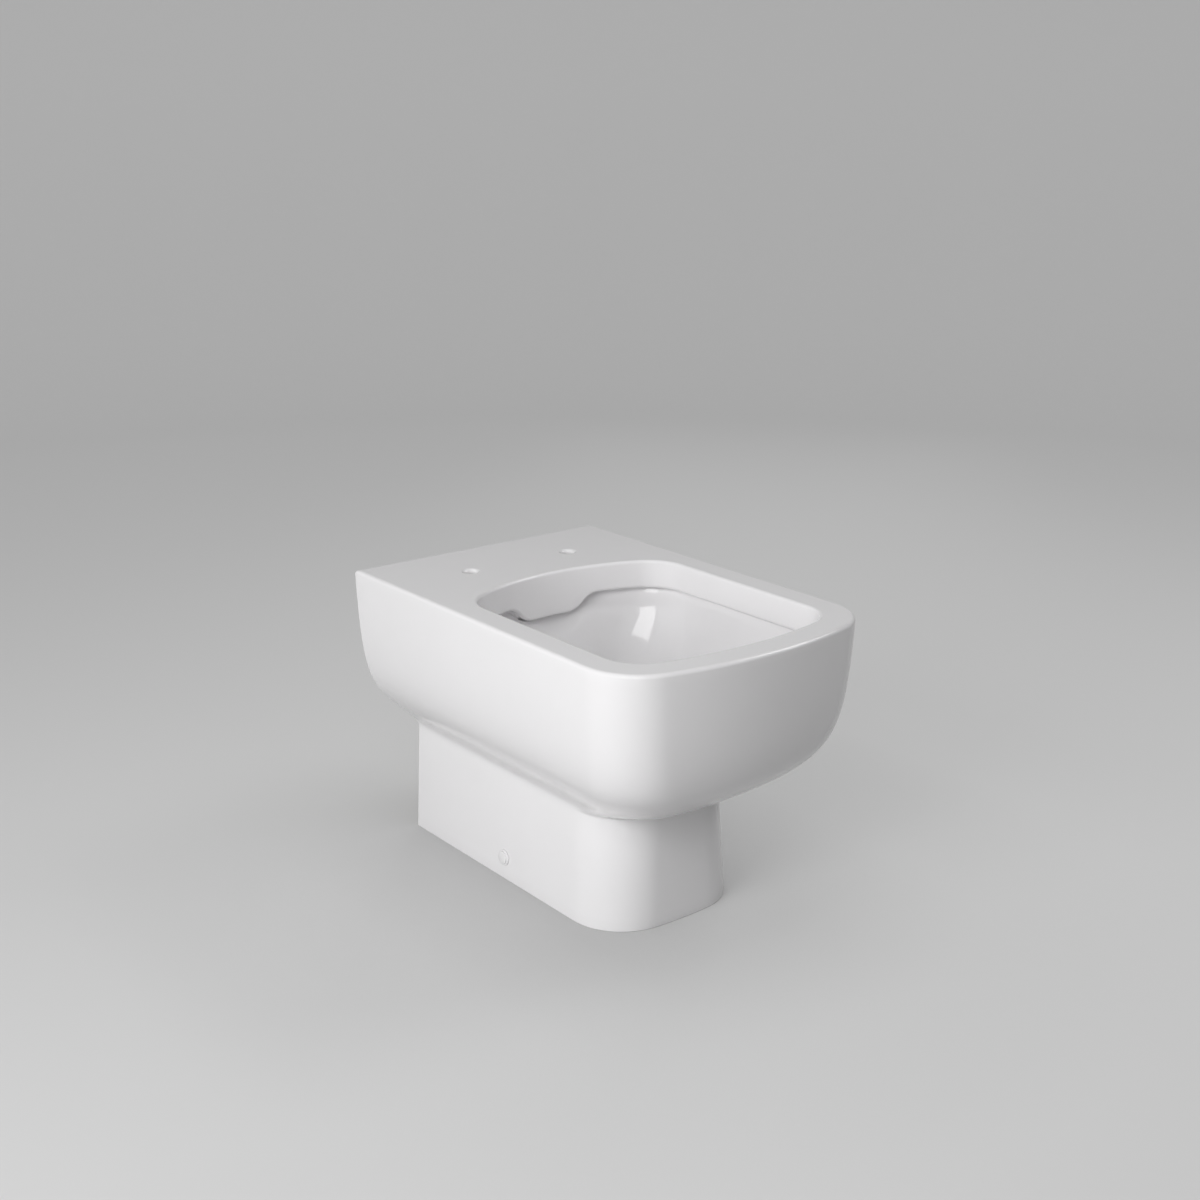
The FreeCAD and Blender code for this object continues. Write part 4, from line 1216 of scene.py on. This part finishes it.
    def add_seat_holes(self, bm: bmesh.types.BMesh) -> None:
        """Add two holes through the rear deck, with rounded lips.

        Args:
            bm: mesh in millimetres that gets them.
        """
        radius = self.seat_hole / 2
        lip = self.seat_hole_lip
        profile = [(radius + lip + self.holding_edge, self.top)]
        profile += [(radius + out, self.top - drop) for out, drop in quarter_round(lip, LIP_STEPS)]
        profile += [(radius, self.top - lip - self.holding_edge), (radius, self.deck_underside)]
        for side in Side:
            centre = (side.value * self.seat_hole_spacing / 2, self.wall - self.seat_hole_setback)
            rows = [at_height(arc(centre, reach, 0, FULL_TURN, HOLE_SPOKES), height)
                    for reach, height in profile]
            add_grid(bm, rows, True, Surface.GLAZE)

    def inlet_horn(self) -> bpy.types.Object:
        """Horn behind the flush chamber, with a bore for the seal and a narrower passage.

        Returns:
            A closed object to join to the casting.
        """
        bore = self.inlet_bore / 2
        outer = bore + self.inlet_wall
        passage = self.inlet_passage / 2
        root = self.inlet_setback - self.chamber_back - self.bowl_wall
        end = root + self.bowl_wall
        corners = [(0, root), (outer, root), (outer, 0), (bore, 0), (bore, -self.inlet_bore_depth),
                   (passage, -self.inlet_bore_depth), (passage, end), (0, end)]
        bm = bmesh.new()
        add_lathe(bm, soften(corners, self.inlet_round, False), Matrix(), Surface.BISCUIT)
        horn = new_piece("inlet_horn", bm, [GLAZE, BISCUIT])
        seat(horn, self.inlet_place)
        return horn

    def fixing_bars(self) -> bpy.types.Object:
        """Two bars as wide as the fixing holes, through both sides of the foot.

        Returns:
            A closed object to cut out of the casting.
        """
        radius = self.fixing_hole / 2
        reach = self.skin_wall
        bm = bmesh.new()
        for side in Side:
            add_lathe(bm, [(0, -2 * reach), (radius, -2 * reach), (radius, reach), (0, reach)],
                      self.fixing_place(side), Surface.BISCUIT)
        return new_piece("fixing_bars", bm, [GLAZE, BISCUIT])

    def build(self) -> bpy.types.Object:
        """Make the casting as one closed mesh.

        Returns:
            The pan's object.
        """
        bm = bmesh.new()
        self.add_outside(bm)
        self.add_waterway(bm)
        self.add_seat_holes(bm)
        self.add_hollow(bm)
        bmesh.ops.remove_doubles(bm, verts=bm.verts, dist=WELD)
        fill_flat(bm, 2, self.top, Surface.GLAZE)
        fill_flat(bm, 2, self.deck_underside, Surface.BISCUIT)
        fill_flat(bm, 1, self.wall, Surface.BISCUIT)
        piece = new_piece("pan_casting", bm, [GLAZE, BISCUIT])
        carve(piece, self.inlet_horn(), Carving.JOIN)
        carve(piece, self.fixing_bars(), Carving.CUT)
        return piece

    def dress(self, piece: bpy.types.Object) -> list[bpy.types.Object]:
        """Let the casting stand for the pan's node."""
        return [enlist(piece, "pan", "vitreous_china", "pan")]


@dataclass(frozen=True)
class FlushSeal:
    """Rubber ring in the inlet horn that grips the flush pipe, in millimetres."""

    casting: Casting
    pipe: float = 45
    length: float = 26
    collar: float = 66
    collar_thickness: float = 4
    rib_count: int = 3
    groove: float = 1.5
    gap: float = 0.1
    edge: float = 0.9

    def build(self) -> bpy.types.Object:
        """Turn the ring: a collar outside, rounded ribs in the horn, and the pipe's bore.

        Returns:
            The ring's object.
        """
        bore = self.pipe / 2
        collar = self.collar / 2
        rib = self.casting.inlet_bore / 2 - self.gap
        neck = self.length - self.collar_thickness
        steps = 2 * self.rib_count - 1
        corners = [(bore, -neck)]
        for index in range(steps):
            radius = rib - self.groove * (index % 2)
            corners += [(radius, neck * (end - steps) / steps) for end in (index, index + 1)]
        corners += [(collar, 0), (collar, self.collar_thickness), (bore, self.collar_thickness)]
        profile = soften(corners, self.edge, True)
        return turned_piece("flush_seal_ring", profile, EPDM, self.casting.inlet_place)

    def dress(self, piece: bpy.types.Object) -> list[bpy.types.Object]:
        """Let the ring stand for the seal's node."""
        return [enlist(piece, "pan", "seal_rubber", "flush_inlet_seal")]


def pair_up(piece: bpy.types.Object, casting: Casting, finish: Finish) -> None:
    """Repeat a right-hand piece of the foot on the left."""
    axis = [value * MM for value in casting.fixing_axis]
    grow(piece, pair_tree(), {"Axis": axis, "Finish": finish.material()})


@dataclass(frozen=True)
class SideFixings:
    """Sleeve, washer, screw, nut and cap on both sides of the foot, in millimetres along their axis."""

    casting: Casting
    sleeve_gap: float = 0.2
    sleeve_wall: float = 1.4
    sleeve_floor: float = 2
    sleeve_flange: float = 18.5
    sleeve_flange_thickness: float = 1.2
    sleeve_recess: float = 0.5
    screw_diameter: float = 6
    screw_gap: float = 0.25
    screw_head: float = 10.5
    screw_head_height: float = 3.2
    screw_socket: float = 4
    screw_socket_depth: float = 2
    screw_tail: float = 3
    screw_point: float = 0.8
    thread_pitch: float = 1
    thread_depth: float = 0.35
    washer_diameter: float = 12
    washer_thickness: float = 1
    nut_width: float = 10
    nut_thickness: float = 5
    nut_gap: float = 0.05
    nut_face: float = 9.4
    nut_chamfer: float = math.radians(30)
    cap_diameter: float = 21
    cap_edge: float = 1.9
    cap_button: float = 16.5
    cap_button_side: float = 2
    cap_crown: float = 1
    cap_plug_length: float = 4
    cap_plug_wall: float = 1.2
    cap_gap: float = 0.15
    bracket_gap: float = 0.2
    bracket_leg: float = 6
    edge: float = 0.5

    @property
    def screw_bore(self) -> float:
        """Radius of the holes that the screw passes."""
        return self.screw_diameter / 2 + self.screw_gap

    @property
    def sleeve_inner(self) -> float:
        """Radius of the sleeve's mouth."""
        return self.casting.fixing_hole / 2 - self.sleeve_gap - self.sleeve_wall

    @property
    def sleeve_seat(self) -> float:
        """Place of the sleeve's floor, under the washer."""
        return self.sleeve_recess - self.casting.fixing_wall + self.sleeve_floor

    @property
    def head_seat(self) -> float:
        """Place of the screw head's underside."""
        return self.sleeve_seat + self.washer_thickness

    @property
    def nut_end(self) -> float:
        """Place of the nut's inner face, behind the bracket's leg."""
        leg_inner = -self.casting.fixing_wall - self.bracket_gap - self.bracket_leg
        return leg_inner - self.nut_gap - self.nut_thickness

    def sleeve(self) -> bpy.types.Object:
        """Cup that lines the hole, with a flange on the china and a floor under the washer.

        Returns:
            The cup in the fixing's own frame.
        """
        inner = self.sleeve_inner
        outer = inner + self.sleeve_wall
        flange = self.sleeve_flange / 2
        mouth = self.sleeve_flange_thickness
        seat_end = self.sleeve_seat
        end = seat_end - self.sleeve_floor
        corners = [(self.screw_bore, end), (outer, end), (outer, 0), (flange, 0), (flange, mouth),
                   (inner, mouth), (inner, seat_end), (self.screw_bore, seat_end)]
        return turned_piece("foot_sleeves", soften(corners, self.edge, True), POLYPROPYLENE)

    def washer(self) -> bpy.types.Object:
        """Flat washer on the sleeve's floor.

        Returns:
            The washer in the fixing's own frame.
        """
        rim = self.washer_diameter / 2
        corners = [(self.screw_bore, self.sleeve_seat), (rim, self.sleeve_seat), (rim, self.head_seat),
                   (self.screw_bore, self.head_seat)]
        return turned_piece("foot_washers", soften(corners, self.edge, True), ZINC)

    def screw(self) -> bpy.types.Object:
        """Socket screw with its thread, from the sleeve through the bracket and the nut.

        Returns:
            The screw in the fixing's own frame.
        """
        shank = self.screw_diameter / 2
        core = shank - self.thread_depth
        head = self.screw_head / 2
        tip = self.nut_end - self.screw_tail
        top = self.head_seat + self.screw_head_height
        thread_start = tip + self.screw_point
        thread_end = self.head_seat - shank
        corners = [(0, tip), (core - self.screw_point, tip), (core, thread_start), (core, thread_end),
                   (shank, thread_end), (shank, self.head_seat), (head, self.head_seat), (head, top),
                   (0, top)]
        piece = turned_piece("foot_screws", soften(corners, self.edge, False), ZINC)
        hexagon = arc((0, 0), self.screw_socket / math.sqrt(3), 0, FULL_TURN, 6)
        depth = self.screw_socket_depth
        socket = bmesh.new()
        add_prism(socket, at_height(hexagon, top - depth), (0, 0, 2 * depth))
        carve(piece, new_piece("screw_socket", socket, [ZINC]), Carving.CUT)
        rise = thread_end - thread_start
        grow(piece, thread_tree(), {
            "Core": core * MM, "Ridge": self.thread_depth * MM, "Turns": rise / self.thread_pitch,
            "Rise": rise * MM, "Start": (0, 0, thread_start * MM), "Finish": ZINC.material()})
        return piece

    def nut(self) -> bpy.types.Object:
        """Hexagon nut whose corners are chamfered by a cone on both faces.

        Returns:
            The nut in the fixing's own frame.
        """
        bore = [self.screw_diameter / 2 + self.nut_gap] * SPOKES
        face = [self.nut_face / 2] * SPOKES
        low = self.nut_end
        high = low + self.nut_thickness
        spokes = [FULL_TURN * step / SPOKES for step in range(SPOKES)]
        flat = FULL_TURN / 6
        reaches = [self.nut_width / 2 / math.cos(angle % flat - flat / 2) for angle in spokes]
        slants = [(reach - self.nut_face / 2) * math.tan(self.nut_chamfer) for reach in reaches]

        def row(radii: list[float], heights: list[float]) -> Row:
            """Ring of points with a radius and a height each."""
            return [(radius * math.cos(angle), radius * math.sin(angle), height)
                    for angle, radius, height in zip(spokes, radii, heights)]

        rows = [row(bore, [low] * SPOKES), row(face, [low] * SPOKES),
                row(reaches, [low + slant for slant in slants]),
                row(reaches, [high - slant for slant in slants]),
                row(face, [high] * SPOKES), row(bore, [high] * SPOKES)]
        bm = bmesh.new()
        add_grid(bm, rows + rows[:1], True)
        return new_piece("foot_nuts", bm, [ZINC])

    def cap(self, side: Side) -> bpy.types.Object:
        """Cap that hides the sleeve, with a domed button on a flat rim and a plug behind.

        Args:
            side: side of the foot that it is on.

        Returns:
            The cap in its place.
        """
        rim = self.cap_diameter / 2
        button = self.cap_button / 2
        edge_top = self.cap_gap + self.cap_edge
        radius = (button ** 2 + self.cap_crown ** 2) / (2 * self.cap_crown)
        middle = edge_top + self.cap_button_side + self.cap_crown - radius
        dome = [(0.0, middle + radius)]
        dome += arc((0, middle), radius, QUARTER, math.acos(button / radius), DOME_STEPS)
        underside = self.sleeve_flange_thickness + self.cap_gap
        recess = self.sleeve_flange / 2 + self.cap_gap
        plug = self.sleeve_inner - self.cap_gap
        plug_inner = plug - self.cap_plug_wall
        plug_end = underside - self.cap_plug_length
        corners = dome[-2:] + [
            (button, edge_top), (rim, edge_top), (rim, self.cap_gap), (recess, self.cap_gap),
            (recess, underside), (plug, underside), (plug, plug_end), (plug_inner, plug_end),
            (plug_inner, underside), (0, underside)]
        profile = dome[:-2] + soften(corners, self.edge, False)
        name = f"{side.name.lower()}_cap_cover"
        return turned_piece(name, profile, CAP_ABS, self.casting.fixing_place(side))

    def build(self) -> dict[str, bpy.types.Object]:
        """Make the pairs that stay with the pan, and the two caps.

        Returns:
            Pieces by the node's name, without its side for the pairs.
        """
        pairs = {"sleeve": (self.sleeve(), POLYPROPYLENE), "washer": (self.washer(), ZINC),
                 "side_screw": (self.screw(), ZINC), "bracket_nut": (self.nut(), ZINC)}
        pieces = {}
        for node, (piece, finish) in pairs.items():
            seat(piece, self.casting.fixing_place(Side.RIGHT))
            pair_up(piece, self.casting, finish)
            pieces[node] = piece
        for side in Side:
            pieces[f"{side.name.lower()}_cover_cap"] = self.cap(side)
        return pieces

    def dress(self, pieces: dict[str, bpy.types.Object]) -> list[bpy.types.Object]:
        """Let the pieces stand for their nodes, with each cap on its own body.

        Args:
            pieces: pieces by the node's name, without its side for the pairs.

        Returns:
            The same pieces.
        """
        slots = {"sleeve": "sleeve_plastic", "washer": "zinc_steel", "side_screw": "zinc_steel",
                 "bracket_nut": "zinc_steel"}
        dressed = [enlist(pieces[node], "pan", slot, f"left_{node}", f"right_{node}")
                   for node, slot in slots.items()]
        for side in Side:
            cap = f"{side.name.lower()}_cover_cap"
            dressed.append(enlist(pieces[cap], f"{side.name.lower()}_cap", "cap_plastic", cap))
        return dressed


@dataclass(frozen=True)
class FloorBrackets:
    """Angles inside the foot that take the side screws and are screwed to the floor, in millimetres."""

    casting: Casting
    fixings: SideFixings
    width: float = 36
    height: float = 46
    foot: float = 44
    foot_thickness: float = 6
    gusset: float = 4
    hole: float = 6.5
    hole_inset: float = 27
    edge: float = 0.6

    def bar(self, name: str, outline: list[Flat], start: float, width: float) -> bpy.types.Object:
        """Straight bar along Y.

        Args:
            name: name of the object.
            outline: corners across and up.
            start: where the bar begins along Y.
            width: its length along Y.

        Returns:
            The bar.
        """
        bm = bmesh.new()
        add_prism(bm, [(x, start, z) for x, z in outline], (0, width, 0))
        return new_piece(name, bm, [NYLON])

    def drill(self, radius: float, reach: float, place: Matrix) -> bpy.types.Object:
        """Round tool about the Z axis of a place, reaching both ways."""
        profile = [(0, -reach), (radius, -reach), (radius, reach), (0, reach)]
        return turned_piece("drill", profile, NYLON, place)

    def build(self) -> bpy.types.Object:
        """Make the right-hand angle with its gussets and holes, and repeat it on the left.

        Returns:
            The pair in one object.
        """
        casting = self.casting
        slope = math.tan(casting.foot_draft)
        leg = self.fixings.bracket_leg / math.cos(casting.foot_draft)
        thick = self.foot_thickness
        lean = self.height * slope
        half = self.width / 2
        profile = [(0, 0), (-lean, self.height), (-leg - lean, self.height), (-leg - thick * slope, thick),
                   (-self.foot, thick), (-self.foot, 0)]
        web = [(-leg / 2, thick / 2), (-leg / 2 - lean, self.height), (-leg - lean, self.height),
               (-self.foot, thick), (-self.foot, thick / 2)]
        piece = self.bar("foot_brackets", profile, -half, self.width)
        for start in (-half, half - self.gusset):
            carve(piece, self.bar("gusset", web, start, self.gusset), Carving.JOIN)
        setback = (casting.foot_width / 2 + casting.skin_lift * slope - casting.skin_wall
                   - self.fixings.bracket_gap / math.cos(casting.foot_draft))
        place = Matrix.Translation((setback, casting.wall - casting.fixing_setback, 0))
        down = Matrix.Translation((-self.hole_inset, 0, 0))
        sideways = place.inverted() @ casting.fixing_place(Side.RIGHT)
        carve(piece, self.drill(self.hole / 2, 2 * thick, down), Carving.CUT)
        carve(piece, self.drill(self.fixings.screw_bore, 2 * casting.skin_wall, sideways), Carving.CUT)
        round_edges(piece, self.edge)
        seat(piece, place)
        pair_up(piece, casting, NYLON)
        return piece

    def dress(self, piece: bpy.types.Object) -> list[bpy.types.Object]:
        """Let the pair stand for both brackets' nodes."""
        return [enlist(piece, "pan", "bracket_plastic", "left_floor_bracket", "right_floor_bracket")]


def heading(bearing: float, lift: float) -> Vector:
    """Direction out from the pan.

    Args:
        bearing: degrees round it, 0 on its left side and 90 at its front.
        lift: degrees above the floor.

    Returns:
        A vector one metre long.
    """
    turn = math.radians(bearing)
    rise = math.radians(lift)
    return Vector((-math.cos(turn) * math.cos(rise), -math.sin(turn) * math.cos(rise), math.sin(rise)))


@dataclass(frozen=True)
class Softbox:
    """Rectangular soft lamp, hung by its heading from the pan, in metres, degrees and watts."""

    name: str
    bearing: float
    lift: float
    size: Flat
    power: float
    mirrored: bool
    aim: Point = (0, 0, 0.22)
    distance: float = 2.6
    roll: float = 0
    spread: float = 180

    def build(self) -> None:
        """Hang the lamp so that it faces its aim."""
        lamp = bpy.data.lights.new(self.name, "AREA")
        lamp.shape = "RECTANGLE"
        lamp.size, lamp.size_y = self.size
        lamp.energy = self.power
        lamp.spread = math.radians(self.spread)
        way = heading(self.bearing, self.lift)
        turn = way.to_track_quat("Z", "Y") @ Quaternion((0, 0, 1), math.radians(self.roll))
        holder = bpy.data.objects.new(self.name, lamp)
        holder.location = Vector(self.aim) + way * self.distance
        holder.rotation_euler = turn.to_euler()
        holder.visible_camera = False
        holder.visible_glossy = self.mirrored
        bpy.context.scene.collection.objects.link(holder)


@dataclass(frozen=True)
class Studio:
    """Pale dish of a floor, soft lamps and the camera, in metres and degrees."""

    floor_radius: float = 3.2
    cove: float = 0.9
    wall_height: float = 2.6
    floor_colour: str = "#BCBCBC"
    floor_roughness: float = 0.9
    floor_paleness: float = 0.36
    floor_glow: float = 0.9
    shade_reach: float = 0.5
    sky_colour: str = "#FFFFFF"
    sky_strength: float = 0.04
    camera_place: Point = (-1.2211, -1.5352, 0.9677)
    camera_bearing: float = 51.869
    camera_lift: float = 16.894
    lens: float = 50.27
    lamps: tuple[Softbox, ...] = (
        Softbox("window_softbox", 41, 31, (1.28, 0.68), 12, True, aim=(0.127, 0.086, 0.293), roll=-16),
        Softbox("left_softbox", 13, 20, (1.4, 1.4), 44, False),
        Softbox("right_softbox", 155, 42, (1, 1), 15, True),
        Softbox("overhead_softbox", 0, 88, (1.4, 1.4), 14, False),
        Softbox("far_softbox", 222, 3, (1.2, 0.4), 3, False, distance=3.6, spread=40),
    )

    def paper(self) -> bpy.types.Material:
        """Matt paper, paler than the light it sends back where it is open, with ambient occlusion taking that
        glow away near what stands on it as painted shade.

        Returns:
            The floor's material.
        """
        material = bpy.data.materials.new("matt_paper")
        material.use_nodes = True
        tree = material.node_tree
        shader = tree.nodes["Principled BSDF"]
        shader.inputs["Base Color"].default_value = linear(self.floor_colour)
        shader.inputs["Roughness"].default_value = self.floor_roughness
        path = add_node(tree, "ShaderNodeLightPath").outputs
        # Ambient occlusion, not the lamps, darkens the floor's glow near the pan and inside its hollow:
        # painted shade round and under it.
        opened = add_node(tree, "ShaderNodeAmbientOcclusion", {"samples": 3}, {"Distance": self.shade_reach})
        share = path["Is Camera Ray"]
        steps = [("MAXIMUM", path["Is Glossy Ray"]), ("MAXIMUM", path["Is Transmission Ray"]),
                 ("MULTIPLY", self.floor_paleness), ("MULTIPLY", opened.outputs["AO"])]
        for operation, value in steps:
            step = add_node(tree, "ShaderNodeMath", {"operation": operation}, {0: share, 1: value})
            share = step.outputs[0]
        glow = add_node(tree, "ShaderNodeEmission", {}, {"Strength": self.floor_glow})
        pale = add_node(tree, "ShaderNodeMixShader", {}, {0: share, 1: shader.outputs[0], 2: glow.outputs[0]})
        tree.links.new(pale.outputs[0], tree.nodes["Material Output"].inputs["Surface"])
        return material

    def add_floor(self) -> None:
        """Make a level floor that rises to a wall all round, far from the pan."""
        profile = [(0.0, 0.0), (self.floor_radius, 0.0)]
        profile += arc((self.floor_radius, self.cove), self.cove, -QUARTER, 0, COVE_STEPS)
        profile.append((self.floor_radius + self.cove, self.wall_height))
        bm = bmesh.new()
        add_lathe(bm, [(radius / MM, height / MM) for radius, height in profile], Matrix())
        bmesh.ops.reverse_faces(bm, faces=bm.faces)
        floor = new_piece("studio_floor", bm, [])
        floor.data.materials.append(self.paper())

    def add_camera(self) -> None:
        """Put the camera at the photograph's angle."""
        data = bpy.data.cameras.new("camera")
        data.lens = self.lens
        camera = bpy.data.objects.new("camera", data)
        camera.location = self.camera_place
        back = heading(self.camera_bearing, self.camera_lift)
        camera.rotation_euler = back.to_track_quat("Z", "Y").to_euler()
        bpy.context.scene.collection.objects.link(camera)
        bpy.context.scene.camera = camera

    def build(self) -> None:
        """Set up floor, world light, lamps and camera."""
        self.add_floor()
        world = bpy.data.worlds.new("studio_light")
        world.use_nodes = True
        sky = world.node_tree.nodes["Background"]
        sky.inputs["Color"].default_value = linear(self.sky_colour)
        sky.inputs["Strength"].default_value = self.sky_strength
        bpy.context.scene.world = world
        for lamp in self.lamps:
            lamp.build()
        self.add_camera()


def main() -> None:
    """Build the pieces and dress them."""
    logging.basicConfig(level=logging.INFO, format="%(name)s: %(message)s")
    bpy.context.scene.view_settings.view_transform = "Standard"
    low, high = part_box("pan")
    width, depth, _ = (high - low) / MM
    casting = Casting(wall=round(high.y / MM, 1), top=round(high.z / MM, 1),
                      width=round(width, 1) - BOX_GAP, depth=round(depth, 1) - BOX_GAP)
    fixings = SideFixings(casting)
    for assembly in (casting, FlushSeal(casting), fixings, FloorBrackets(casting, fixings)):
        for piece in assembly.dress(assembly.build()):
            log.info("%s: %d faces", piece.name, len(piece.data.polygons))
    Studio().build()


if __name__ == "__main__":
    main()
